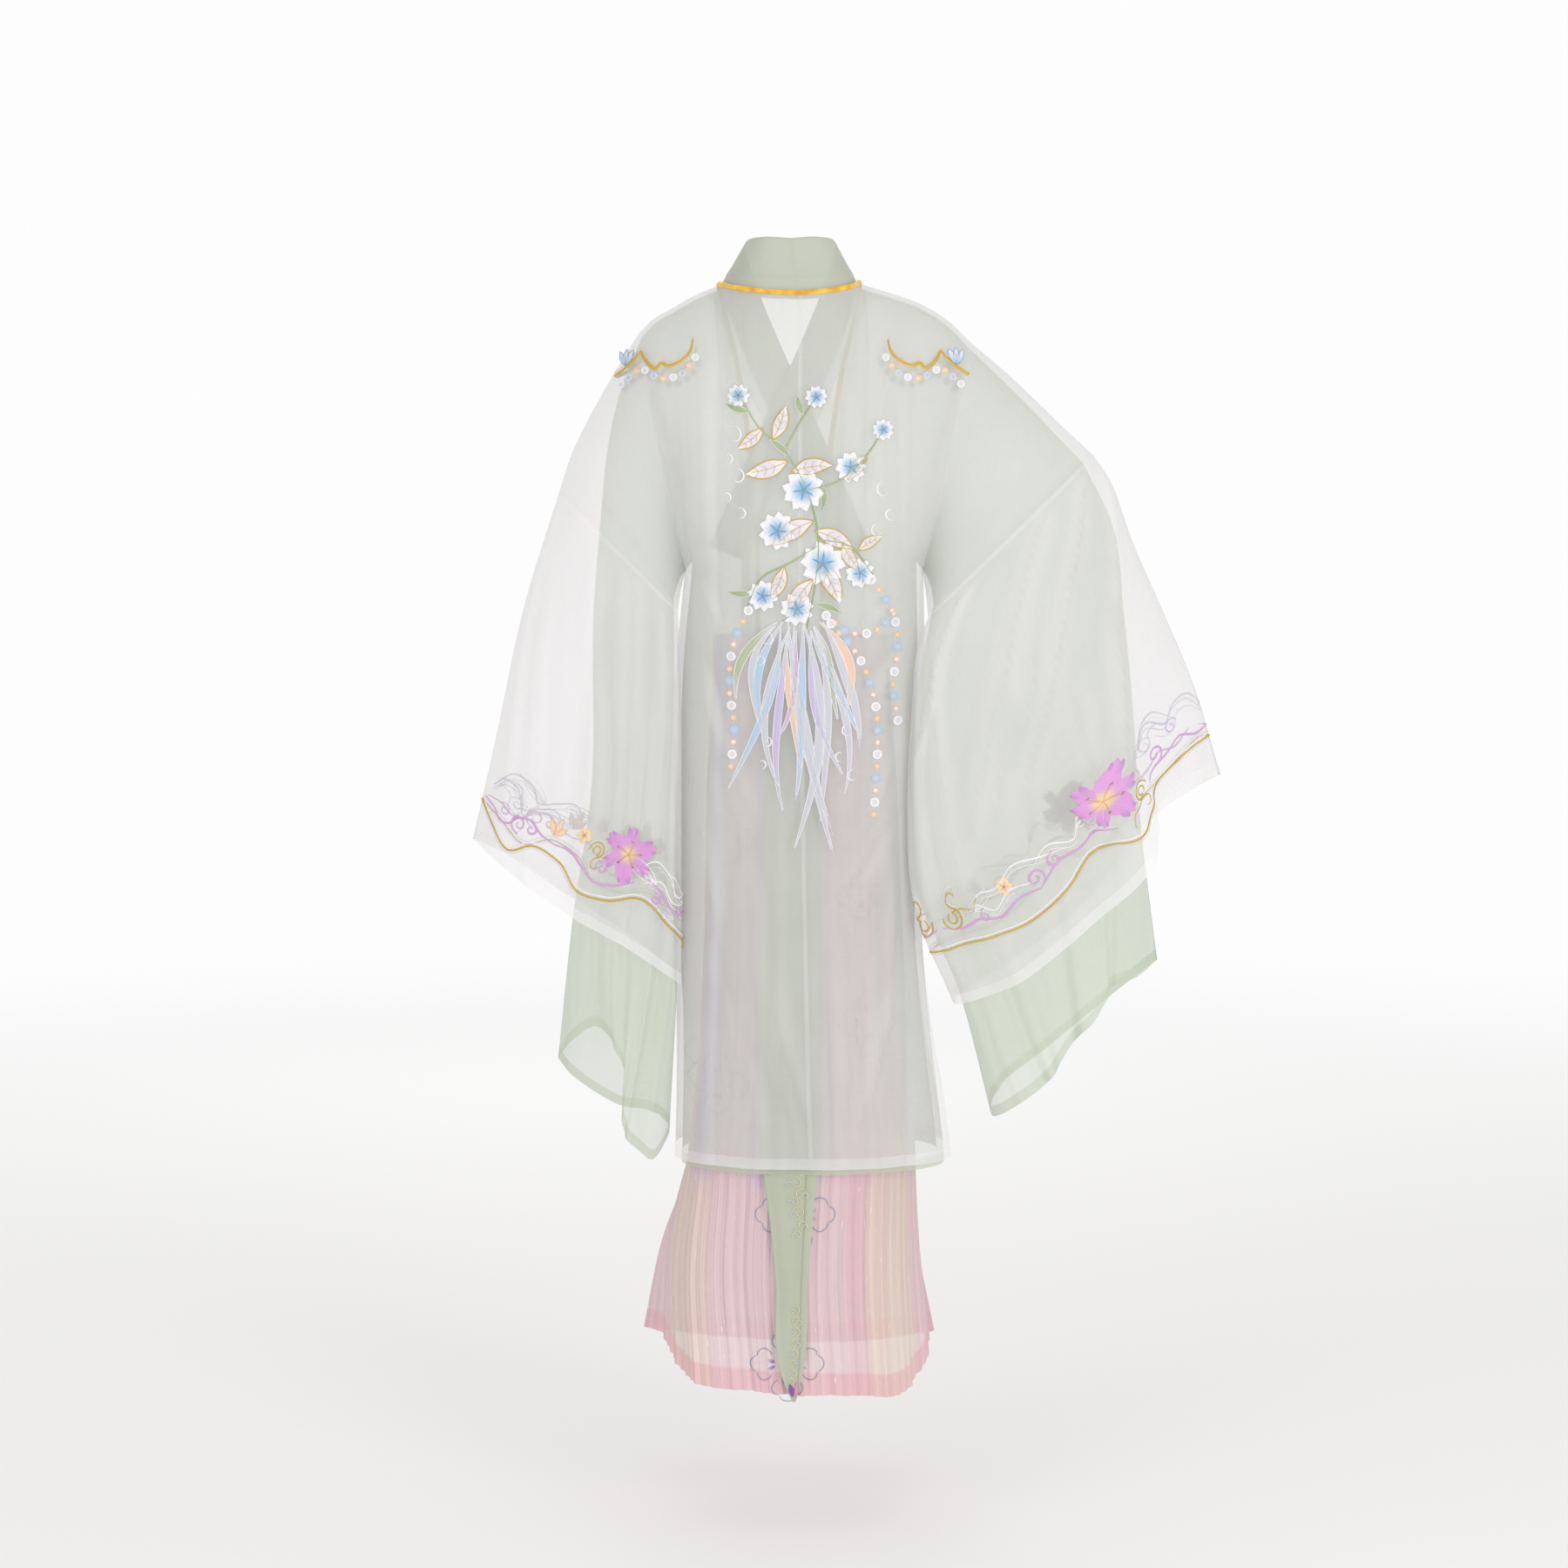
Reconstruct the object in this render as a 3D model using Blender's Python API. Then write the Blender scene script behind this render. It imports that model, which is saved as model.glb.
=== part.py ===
"""A worn hanfu set: a white sheer outer robe, a mint inner robe, a crinkled skirt and the tail of its sash.

Metres, +Z up. The front faces -Y, the wearer's left is +X, and the origin is the centre of the neck opening.
Each robe is a set of sheets welded into one surface, cut into its pieces along the seams, and given a wall.
Tables are in millimetres, one row for each section of the cloth.
"""

import bmesh
import bpy
import numpy as np
from mathutils.bvhtree import BVHTree

for old in list(bpy.data.objects):
    bpy.data.objects.remove(old, do_unlink=True)

MM = 0.001

WALL = 1.2 * MM  # chiffon, with the air between its threads
HEM_WALL = 2.2 * MM  # the cloth turned twice at every hem
COLLAR_WALL = 2.0 * MM
BINDING_WALL = 2.6 * MM
SKIRT_WALL = 1.1 * MM
SASH_WALL = 2.2 * MM
SEAM_GAP = 0.3 * MM
HEM_WIDTH = 14 * MM
LONGEST_CORNER = 1.3  # a corner's half wall is at most this many times a flat one's

NECK_STEPS = 3  # columns from the centre back to the side of the neck
SHOULDER_STEPS = 5  # from there to the armhole
STUB_STEPS = 4  # from the armhole to the sleeve seam
FACE_STEPS = 12  # rows from the top fold of a sleeve down one face to its low fold
OUTER_SLEEVE_STEPS = 8
INNER_SLEEVE_STEPS = 10

WHITE = (0.93, 0.93, 0.92)
MINT = (0.62, 0.70, 0.58)
GOLD_YELLOW = (0.85, 0.45, 0.02)
PINK = (0.82, 0.58, 0.60)
SASH_GREEN = (0.45, 0.50, 0.40)


def table(names, *rows):
    """Named columns from rows in millimetres. Columns called along, round or share are plain numbers."""
    columns = {}
    for name, values in zip(names.split(), np.array(rows, float).T):
        columns[name] = values if name in ("along", "round", "share") else values * MM
    return columns


def spots(columns, names):
    return np.stack([columns[name] for name in names.split()], axis=-1)


def through(places, values, at):
    """A smooth curve through rows: cubic, its slope at each row the mean of the slopes on both sides."""
    places, values, at = (np.asarray(each, float) for each in (places, values, at))
    slopes = np.gradient(values, places, axis=0)
    step = np.clip(np.searchsorted(places, at, side="right") - 1, 0, len(places) - 2)
    width = places[step + 1] - places[step]
    t = np.clip((at - places[step]) / width, 0, 1)
    if values.ndim > 1:
        width, t = width[..., None], t[..., None]
    first, last = values[step], values[step + 1]
    return (
        first * (1 + 2 * t) * (1 - t) ** 2
        + slopes[step] * width * t * (1 - t) ** 2
        + last * t * t * (3 - 2 * t)
        - slopes[step + 1] * width * t * t * (1 - t)
    )


def along_line(points, count):
    """Points evenly spaced along a smooth line through the given points."""
    lengths = np.linalg.norm(np.diff(points, axis=0), axis=1)
    places = np.concatenate([[0], np.cumsum(lengths)])
    return through(places, points, np.linspace(0, places[-1], count + 1))


def patch(top, low, inner, outer, ease):
    """The surface filled in between four edges, rows running from top to low and columns from inner to outer.

    ease holds, for each of x, y and z, how far a row has gone from the top to the low edge.
    """
    across = np.linspace(0, 1, len(top))[None, :, None]
    down = ease[:, None, :]
    filled = top[None] * (1 - down) + low[None] * down
    filled = filled + inner[:, None] * (1 - across) + outer[:, None] * across
    corners = top[0] * (1 - across) * (1 - down) + top[-1] * across * (1 - down)
    return filled - corners - low[0] * (1 - across) * down - low[-1] * across * down


def ring(top, low, arm, hang, round_by):
    """Points round a sleeve, from its top fold down the back face to its low fold and up the front face.

    arm and hang are the half depths that the section tends to at the arm and at its hanging edge.
    """
    down = ((1 - np.cos(2 * np.pi * round_by)) / 2)[:, None]
    points = top + (low - top) * down
    points[:, 1] += np.sin(2 * np.pi * round_by) * (arm * (1 - down) + hang * down)[:, 0]
    return points


def four_sided(index):
    """The faces between the rows and columns of a grid of point numbers."""
    return np.stack([index[:-1, :-1], index[1:, :-1], index[1:, 1:], index[:-1, 1:]], axis=-1).reshape(-1, 4)


def split_short(points, quads):
    """Triangles from four-sided faces, each split along its shorter diagonal."""
    one, other = (np.linalg.norm(points[quads[:, k]] - points[quads[:, k + 2]], axis=1) for k in (0, 1))
    quads = np.where((one < other)[:, None], quads, np.roll(quads, 1, axis=1))
    return quads[:, [[0, 1, 2], [0, 2, 3]]].reshape(-1, 3)


def off_every_face(count, faces, flat):
    """For each point, the way that leads off all its faces alike, as far as a sharp corner's wall needs."""
    ways = np.zeros((count, 3))
    corners = faces.reshape(-1)
    order = np.argsort(corners, kind="stable")
    users = np.split(order // faces.shape[1], np.flatnonzero(np.diff(corners[order])) + 1)
    for point, own in zip(np.unique(corners), users):
        way = np.linalg.pinv(flat[own], rcond=0.2) @ np.ones(len(own))
        ways[point] = way * min(1, LONGEST_CORNER / np.linalg.norm(way))
    return ways


class Sheets:
    """Grids of points that meet at their edges, welded into one surface, with a piece name for each face."""

    def __init__(self):
        self.points, self.walls, self.faces, self.names = [], [], [], []

    def add(self, name, grid, wall=WALL):
        rows, columns = grid.shape[:2]
        start = sum(len(each) for each in self.points)
        self.points.append(grid.reshape(-1, 3))
        self.walls.append(np.broadcast_to(wall, (rows, columns)).reshape(-1))
        index = start + np.arange(rows * columns).reshape(rows, columns)
        self.faces.append(four_sided(index))
        self.names += [name] * len(self.faces[-1])

    def weld(self):
        """The welded points, their walls, and the faces turned to point away from the wearer."""
        points, walls = np.concatenate(self.points), np.concatenate(self.walls)
        _, first, index = np.unique(np.round(points, 6), axis=0, return_index=True, return_inverse=True)
        thickest = np.zeros(len(first))
        np.maximum.at(thickest, index.reshape(-1), walls)
        surface = bmesh.new()
        corners = [surface.verts.new(point) for point in points[first]]
        for quad in index.reshape(-1)[np.concatenate(self.faces)]:
            surface.faces.new([corners[k] for k in quad])
        bmesh.ops.recalc_face_normals(surface, faces=surface.faces)
        surface.verts.index_update()
        faces = np.array([[corner.index for corner in face.verts] for face in surface.faces])
        surface.free()
        return points[first], thickest, faces

    def pieces(self, outward):
        """For each piece: its points, half walls along the surface's normals, and faces.

        outward is a point and a direction near it that must point off the body. Along each seam the piece is
        moved back from its neighbour by half the gap.
        """
        points, walls, faces = self.weld()
        names = np.array(self.names)
        centre = points[faces].mean(axis=1)
        flat = np.cross(points[faces[:, 2]] - points[faces[:, 0]], points[faces[:, 3]] - points[faces[:, 1]])
        nearest = np.argmin(np.linalg.norm(centre - outward[0], axis=1))
        if flat[nearest] @ outward[1] < 0:
            faces, flat = faces[:, ::-1], -flat
        flat /= np.linalg.norm(flat, axis=1)[:, None]
        normals = off_every_face(len(points), faces, flat)

        edge_faces = {}
        for number, face in enumerate(faces):
            for a, b in zip(face, np.roll(face, -1)):
                edge_faces.setdefault((min(a, b), max(a, b)), []).append(number)
        for name in dict.fromkeys(self.names):
            back_off = {}
            for (a, b), users in edge_faces.items():
                own = [number for number in users if names[number] == name]
                if len(own) != 1 or len(users) != 2:
                    continue
                inward = np.cross(normals[a] + normals[b], points[b] - points[a])
                inward *= np.sign(inward @ (centre[own[0]] - points[a])) / np.linalg.norm(inward)
                back_off.setdefault(a, []).append(inward)
                back_off.setdefault(b, []).append(inward)
            moved = points.copy()
            for corner, ways in back_off.items():
                ways = np.array(ways)
                moved[corner] += SEAM_GAP / 2 * (np.linalg.pinv(ways, rcond=0.2) @ np.ones(len(ways)))
            used, index = np.unique(split_short(points, faces[names == name]), return_inverse=True)
            half = normals[used] * walls[used, None] / 2
            yield name, moved[used], half, index.reshape(-1, 3)


def material(name, colour, roughness):
    made = bpy.data.materials.new(name)
    made.use_nodes = True
    shader = made.node_tree.nodes["Principled BSDF"]
    shader.inputs["Base Color"].default_value = (*colour, 1)
    shader.inputs["Roughness"].default_value = roughness
    shader.inputs["Metallic"].default_value = 0
    made.diffuse_color = (*colour, 1)
    return made


def walled(name, points, half, faces, finish):
    """One closed cloth solid: the sheet moved out and in by half its wall, joined round every free edge."""
    count = len(points)
    sides = {}
    for face in faces:
        for a, b in zip(face, np.roll(face, -1)):
            sides[(a, b)] = sides.get((a, b), 0) + 1
    rim = np.array([(b, a, a + count, b + count) for a, b in sides if (b, a) not in sides])
    corners = np.concatenate([points + half, points - half])
    mesh = bpy.data.meshes.new(name)
    triangles = np.concatenate([faces, faces[:, ::-1] + count, split_short(corners, rim)])
    mesh.from_pydata(corners.tolist(), [], triangles.tolist())
    mesh.validate()
    mesh.materials.append(finish)
    mesh.shade_smooth()
    piece = bpy.data.objects.new(name, mesh)
    bpy.context.scene.collection.objects.link(piece)
    return piece


# The two robes. Top lines run from the centre back round the neck, over the shoulder and along the arm.

OUTER_NECK_LEFT = table("x y z", (-12, 77, -21), (30, 72, -19), (64, 54, -14), (93, 4, -5))
OUTER_NECK_RIGHT = table("x y z", (-12, 77, -21), (-46, 70, -18), (-74, 50, -12), (-90, 4, -3))
OUTER_SHOULDER_LEFT = table(
    "x y z",
    (93, 4, -5), (122, 0, -17), (149, -3, -32), (174, -5, -46), (192, -5, -64),
)
OUTER_SHOULDER_RIGHT = table(
    "x y z",
    (-90, 4, -3), (-128, 0, -14), (-165, -3, -27), (-200, -5, -48), (-228, -5, -75),
)
OUTER_ARM_LEFT = table(
    "x y z",
    (192, -5, -64), (228, -4, -122), (255, -2, -170), (277, 0, -215), (293, 0, -263),
)
OUTER_ARM_RIGHT = table(
    "x y z",
    (-228, -5, -75), (-271, -5, -111), (-313, -3, -150), (-352, 0, -188), (-383, 0, -216),
)
OUTER_UNDERARM_LEFT = table("x y z", (132, 0, -362), (142, 26, -385), (148, 56, -412))
OUTER_UNDERARM_RIGHT = table("x y z", (-168, 0, -362), (-178, 28, -389), (-182, 58, -420))
OUTER_BACK_SEAM = table(
    "x y z",
    (-12, 77, -21), (-12, 90, -62), (-12, 107, -130), (-12, 118, -215), (-12, 122, -362),
)
OUTER_FRONT_EDGE = table(
    "x y z",
    (93, 4, -5), (88, -48, -32), (72, -96, -100), (58, -122, -190), (49, -132, -280), (46, -134, -362),
)

INNER_NECK_LEFT = table("x y z", (-12, 72, -26), (29, 67, -24), (61, 50, -19), (90, 5, -10))
INNER_NECK_RIGHT = table("x y z", (-12, 72, -26), (-45, 65, -23), (-71, 47, -17), (-87, 5, -8))
INNER_SHOULDER_LEFT = table(
    "x y z",
    (90, 5, -10), (120, 1, -22), (147, -3, -37), (171, -5, -51), (188, -5, -69),
)
INNER_SHOULDER_RIGHT = table(
    "x y z",
    (-87, 5, -8), (-125, 1, -19), (-162, -3, -32), (-197, -5, -53), (-224, -5, -80),
)
INNER_ARM_LEFT = table(
    "x y z",
    (188, -5, -69), (208, 0, -116), (222, 6, -162), (232, 12, -216), (238, 17, -276),
)
INNER_ARM_RIGHT = table(
    "x y z",
    (-224, -5, -80), (-265, -5, -119), (-305, -3, -158), (-341, 0, -196), (-371, 2, -227),
)
INNER_UNDERARM_LEFT = table("x y z", (124, 0, -350), (145, 18, -371), (154, 46, -397))
INNER_UNDERARM_RIGHT = table("x y z", (-160, 0, -350), (-183, 20, -374), (-189, 50, -404))
INNER_BACK_SEAM = table(
    "x y z",
    (-12, 72, -26), (-12, 84, -66), (-12, 100, -133), (-12, 111, -216), (-12, 115, -350),
)
INNER_FRONT_EDGE = table(
    "x y z",
    (90, 5, -10), (78, -42, -36), (50, -88, -108), (10, -110, -196), (-34, -120, -286), (-64, -118, -350),
)

# The throat, where no cloth lies: it only closes the shape of the chest that the fronts are laid on.
THROAT_LEFT = table("x y z", (-12, -64, -72), (30, -56, -56), (68, -34, -26), (93, 4, -5))
THROAT_RIGHT = table("x y z", (-12, -64, -72), (-42, -56, -54), (-72, -34, -24), (-90, 4, -3))
BREASTBONE = table(
    "x y z",
    (-12, -64, -72), (-12, -98, -124), (-12, -122, -200), (-12, -132, -290), (-12, -134, -362),
)

# Half depths of the armhole and of the sleeve seam: at the arm and at the hanging edge.
OUTER_ARMHOLE = (96 * MM, 54 * MM)
OUTER_SEAM = (70 * MM, 36 * MM)
INNER_ARMHOLE = (84 * MM, 36 * MM)
INNER_SEAM = (50 * MM, 16 * MM)

# The body below the arms: the seam behind, the depths behind and in front, and the side edges of the back and
# front panels, which part at the slits.
BODY = table(
    "z seam_x back_y front_y left_x right_x back_side_y left_front_x right_front_x front_side_y",
    (-362, -12, 122, -134, 132, -168, 0, 132, -168, 0),
    (-480, -13, 119, -138, 129, -156, 0, 129, -156, 0),
    (-620, -15, 117, -140, 132, -156, 0, 132, -156, 0),
    (-760, -17, 118, -141, 137, -160, 0, 137, -160, 0),
    (-860, -19, 120, -142, 138, -163, 0, 138, -163, 0),
    (-950, -21, 123, -144, 133, -165, 14, 146, -196, -30),
    (-1030, -23, 127, -147, 138, -168, 23, 150, -208, -46),
    (-1108, -26, 131, -150, 144, -171, 30, 154, -214, -56),
)
BODY_STEPS = 7
SLIT_TOP = -860 * MM
UNDERARM_RISE = 12 * MM  # the inner robe's underarm lies this far above the outer one's
INNER_INSET = 9 * MM  # how far the inner robe's body lies inside the outer one
CROSSED_INSET = 8 * MM  # and the right front of the inner robe inside its left front
INNER_HEM = -1116 * MM
FLATTEN = 0.85  # below 1 the body's section is flatter than an ellipse

BODY_FOLDS = table(
    "top_x low_x width depth high low",
    (112, 100, 22, 7, -60, -900),
    (60, 76, 18, 5, -90, -620),
    (-112, -124, 22, 7, -60, -760),
    (-62, -60, 18, 5, -70, -560),
    (-40, -60, 20, 5, -760, -1200),
    (50, 44, 20, 6, -700, -1200),
    (-112, -108, 18, 5, -800, -1200),
)
FRONT_FOLDS = 0.35  # the front's folds are this much of the back's


def body_rows(inset, rise, hem_z):
    """The body's sizes at even heights, with one row at the slits' top and one at the hem's upper edge."""
    heights = np.linspace(BODY["z"][0] + rise, hem_z, BODY_STEPS + 1)
    heights[np.argmin(np.abs(heights - SLIT_TOP))] = SLIT_TOP
    heights = np.insert(heights, -1, hem_z + HEM_WIDTH)
    at = np.clip(-heights, -BODY["z"][0], -BODY["z"][-1])
    rows = {name: through(-BODY["z"], values, at) for name, values in BODY.items()}
    rows["z"] = heights
    for name, way in (("back_y", -1), ("front_y", 1), ("left_x", -1), ("right_x", 1)):
        rows[name] = rows[name] + way * inset
    rows["left_front_x"] = rows["left_front_x"] - inset
    rows["right_front_x"] = rows["right_front_x"] + inset
    return rows


def panel(rows, left_x, right_x, side_y, deep_y, side, first_x, steps):
    """One panel of the body: flattened ovals from first_x round to the side, one for each row.

    The oval has its own half width on each side of the back seam, so a front that crosses the middle goes on
    over the other half of the body.
    """
    seam_x = rows["seam_x"][:, None]
    own = (left_x if side > 0 else right_x)[:, None] - seam_x
    other = (right_x if side > 0 else left_x)[:, None] - seam_x
    begins = first_x[:, None] - seam_x
    begins = np.where(begins * side < 0, -begins / other, begins / own)
    start = np.arcsin(np.clip(begins, -1, 1))
    turn = start + (np.pi / 2 - start) * np.linspace(0, 1, steps + 1)
    x = seam_x + np.where(turn < 0, -other, own) * np.sin(turn)
    y = side_y[:, None] + (deep_y - side_y)[:, None] * np.cos(turn).clip(0) ** FLATTEN
    return np.stack([x, y, np.broadcast_to(rows["z"][:, None], x.shape)], axis=-1)


def hanging_folds(points):
    """The creases of the body: gathers that fall from each shoulder, and the slack of the lower panels."""
    x, y, z = points[..., 0], points[..., 1], points[..., 2]
    moved = points.copy()
    behind = np.where(y > 0, 1, -FRONT_FOLDS) * np.clip(np.abs(y) / (40 * MM), 0, 1)
    for top_x, low_x, width, depth, high, low in zip(*BODY_FOLDS.values()):
        centre = top_x + (low_x - top_x) * np.clip((z - high) / (low - high), 0, 1)
        fades = np.clip((high - z) / (80 * MM), 0, 1) * np.clip((z - low) / (120 * MM), 0, 1)
        moved[..., 1] += behind * depth * fades * np.exp(-(((x - centre) / width) ** 2))
    return moved


EVEN = np.linspace(0, 1, FACE_STEPS + 1)
ARCHED = (1 - np.cos(np.pi * EVEN)) / 2
ROUNDED = np.sin(np.pi * EVEN / 2) ** 0.8
ROUND_RING = np.linspace(0, 1, 2 * FACE_STEPS + 1)


def halves(loop):
    """A ring's back and front, each from the top fold to the low fold."""
    return loop[: FACE_STEPS + 1], loop[::-1][: FACE_STEPS + 1]


def upper_panel(top, low, inner, outer):
    """Cloth from the neck and shoulder down to the arms' depth, its depth growing fast below the shoulder."""
    return patch(top, low, inner, outer, np.stack([EVEN, ROUNDED, EVEN], axis=1))


def chest():
    """The chest under both robes' fronts, as a tree that rays can be cast at."""
    corners, quads = [], []
    rows = body_rows(0, 0, BODY["z"][-1])
    for side, throat, shoulder, underarm in (
        (1, THROAT_LEFT, OUTER_SHOULDER_LEFT, OUTER_UNDERARM_LEFT),
        (-1, THROAT_RIGHT, OUTER_SHOULDER_RIGHT, OUTER_UNDERARM_RIGHT),
    ):
        throat, shoulder = spots(throat, "x y z"), spots(shoulder, "x y z")
        armpit = spots(underarm, "x y z")[0]
        low = panel(
            rows, rows["left_x"], rows["right_x"], 0 * rows["z"], rows["front_y"], side, rows["seam_x"],
            NECK_STEPS + SHOULDER_STEPS,
        )[0]
        top = np.concatenate([along_line(throat, NECK_STEPS), along_line(shoulder, SHOULDER_STEPS)[1:]])
        hole = halves(ring(shoulder[-1], armpit, *OUTER_ARMHOLE, ROUND_RING))[1]
        grid = upper_panel(top, low, along_line(spots(BREASTBONE, "x y z"), FACE_STEPS), hole)
        index = len(corners) + np.arange(grid[..., 0].size).reshape(grid.shape[:2])
        quads += four_sided(index).tolist()
        corners += grid.reshape(-1, 3).tolist()
    return BVHTree.FromPolygons(corners, quads)


CHEST = chest()
IN_FRONT = -1.0  # rays start this far in front of the body


def laid(points, layer, share=1.0):
    """Points moved forward or back onto the chest, layer inside it, by the share given for each of them."""
    moved = points.copy()
    share = np.broadcast_to(share, points.shape[:-1])
    for place in np.ndindex(points.shape[:-1]):
        x, _, z = points[place]
        found = CHEST.ray_cast((x, IN_FRONT, z), (0, 1, 0))[0]
        if found is not None:
            moved[place][1] += (found[1] + layer - moved[place][1]) * share[place]
    return moved


def add_body(sheets, name, side, lines, armhole, seam_depths, inset, rise, hem_z, crossed):
    """Adds one half of a robe's body: back, front and the short stub of its sleeve, cut in one length.

    lines holds the neck, shoulder, arm, underarm, back seam and front edge. Returns the front edge above and
    below the arms' depth, and the back neck, for the band that is sewn along them.
    """
    neck, shoulder, arm, underarm, seam, edge = (spots(line, "x y z") for line in lines)
    rows = body_rows(inset, rise, hem_z)
    walls = np.where(np.arange(len(rows["z"])) >= len(rows["z"]) - 2, HEM_WALL, WALL)[:, None]
    back = panel(
        rows, rows["left_x"], rows["right_x"], rows["back_side_y"], rows["back_y"], side, rows["seam_x"],
        NECK_STEPS + SHOULDER_STEPS,
    )
    front = panel(
        rows, rows["left_front_x"], rows["right_front_x"], rows["front_side_y"], rows["front_y"] + crossed,
        side, np.full(len(rows["z"]), edge[-1, 0]), SHOULDER_STEPS,
    )
    front[0] = (front[0] + laid(front[0], inset + crossed)) / 2
    back[0, -1] = front[0, -1] = underarm[0]
    closed = rows["z"] >= SLIT_TOP - MM
    front[closed, -1] = back[closed, -1]

    hole_back, hole_front = halves(ring(shoulder[-1], underarm[0], *armhole, ROUND_RING))
    top_front = along_line(shoulder, SHOULDER_STEPS)
    top_back = np.concatenate([along_line(neck, NECK_STEPS), top_front[1:]])
    seam_line = along_line(np.concatenate([seam[:-1], back[:1, 0]]), FACE_STEPS)
    edge_line = along_line(np.concatenate([edge[:-1], front[:1, 0]]), FACE_STEPS)
    edge_line[1:-1] = laid(edge_line, inset + crossed)[1:-1]
    upper_front = upper_panel(top_front, front[0], edge_line, hole_front)
    upper_front[1:-1, 1:-1] = laid(upper_front, inset + crossed)[1:-1, 1:-1]
    upper_back = hanging_folds(upper_panel(top_back, back[0], seam_line, hole_back))
    sheets.add(name, upper_back)
    sheets.add(name, hanging_folds(upper_front))
    sheets.add(name, hanging_folds(back), walls)
    sheets.add(name, hanging_folds(front), walls)

    arched = np.stack([ARCHED] * 3, axis=1)
    cuffward = halves(ring(arm[-1], underarm[-1], *seam_depths, ROUND_RING))
    for start, end in zip((hole_back, hole_front), cuffward):
        grid = patch(along_line(arm, STUB_STEPS), along_line(underarm, STUB_STEPS), start, end, arched)
        grid[:, 0] = hanging_folds(grid[:, 0])
        sheets.add(name, grid)
    return hanging_folds(edge_line), hanging_folds(front[:, 0]), upper_back[0, : NECK_STEPS + 1]


def mirrored(line, first, layer=0.0):
    """A front edge turned to the wearer's right from the side of the neck there, layer further in."""
    turned = {"x": -line["x"], "y": line["y"] + layer, "z": line["z"].copy()}
    for name in turned:
        turned[name][0] = first[name][-1]
    return turned


# Sleeves: the top and low folds from the seam to the cuff, the half depths, and the loop of the cuff's edge.

SLEEVE_COLUMNS = "along top_x top_y top_z low_x low_y low_z arm hang"
OUTER_SLEEVE_LEFT = table(
    SLEEVE_COLUMNS,
    (0.00, 293, 0, -263, 148, 56, -412, 70, 36),
    (0.30, 338, 0, -405, 139, 60, -540, 70, 30),
    (0.65, 376, -3, -575, 137, 62, -710, 68, 28),
    (1.00, 407, -8, -706, 138, 60, -884, 62, 28),
)
OUTER_SLEEVE_RIGHT = table(
    SLEEVE_COLUMNS,
    (0.00, -383, 0, -216, -182, 58, -420, 70, 36),
    (0.10, -404, 0, -246, -170, 66, -455, 72, 34),
    (0.30, -437, -5, -330, -151, 74, -550, 74, 30),
    (0.50, -476, -25, -412, -147, 76, -655, 72, 28),
    (0.72, -518, -45, -505, -155, 72, -775, 68, 28),
    (1.00, -561, -80, -629, -209, 52, -911, 60, 28),
)
INNER_SLEEVE_LEFT = table(
    SLEEVE_COLUMNS,
    (0.00, 238, 17, -276, 154, 46, -397, 50, 16),
    (0.20, 249, 20, -412, 151, 57, -540, 46, 13),
    (0.50, 253, 20, -635, 151, 58, -720, 42, 12),
    (0.76, 279, 12, -812, 152, 56, -890, 36, 14),
    (1.00, 299, 0, -989, 157, 25, -1086, 30, 18),
)
INNER_SLEEVE_RIGHT = table(
    SLEEVE_COLUMNS,
    (0.00, -371, 2, -227, -189, 50, -404, 50, 16),
    (0.12, -408, 0, -302, -170, 65, -500, 50, 13),
    (0.30, -425, -3, -420, -163, 71, -620, 48, 12),
    (0.55, -440, -12, -560, -168, 67, -755, 42, 12),
    (0.80, -452, -20, -700, -226, 47, -900, 32, 12),
    (1.00, -472, -5, -862, -260, 25, -1060, 30, 18),
)
CUFF_COLUMNS = "round x y z"
OUTER_CUFF_LEFT = table(
    CUFF_COLUMNS,
    (0.000, 407, -8, -706), (0.100, 372, 34, -732), (0.240, 290, 70, -788), (0.400, 190, 80, -846),
    (0.500, 138, 60, -884), (0.560, 146, 40, -872), (0.680, 210, 6, -826), (0.840, 300, -30, -774),
    (0.940, 372, -36, -726), (1.000, 407, -8, -706),
)
OUTER_CUFF_RIGHT = table(
    CUFF_COLUMNS,
    (0.000, -561, -80, -629), (0.042, -528, -62, -636), (0.083, -498, -36, -648), (0.125, -474, -8, -664),
    (0.167, -467, 24, -690), (0.208, -465, 50, -718), (0.250, -455, 66, -742), (0.333, -377, 76, -809),
    (0.417, -293, 74, -878), (0.500, -209, 52, -911), (0.560, -222, 28, -898), (0.660, -296, -6, -856),
    (0.780, -400, -54, -776), (0.870, -470, -88, -690), (0.940, -528, -98, -650), (1.000, -561, -80, -629),
)
INNER_CUFF_LEFT = table(
    CUFF_COLUMNS,
    (0.000, 299, 0, -989), (0.083, 277, 28, -960), (0.167, 243, 44, -942), (0.208, 226, 56, -956),
    (0.250, 214, 69, -986), (0.292, 212, 77, -1026), (0.333, 214, 69, -1062), (0.417, 193, 50, -1100),
    (0.458, 175, 40, -1113), (0.500, 157, 25, -1086), (0.583, 168, -8, -1066), (0.750, 227, -40, -1056),
    (0.900, 283, -26, -1016), (1.000, 299, 0, -989),
)
INNER_CUFF_RIGHT = table(
    CUFF_COLUMNS,
    (0.000, -472, -5, -862), (0.083, -438, 18, -884), (0.125, -410, 24, -892), (0.167, -404, 44, -906),
    (0.208, -384, 54, -936), (0.250, -360, 44, -962), (0.292, -344, 46, -986), (0.333, -336, 60, -1000),
    (0.417, -296, 54, -1036), (0.500, -260, 25, -1060), (0.583, -264, -6, -1036), (0.750, -340, -34, -976),
    (0.900, -430, -28, -900), (1.000, -472, -5, -862),
)
OUTER_FOLD_START = 0.12  # the share of the sleeve above which the cuff's folds have died away
INNER_FOLD_START = 0.66
FOLD_FADE = 1.6


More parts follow.
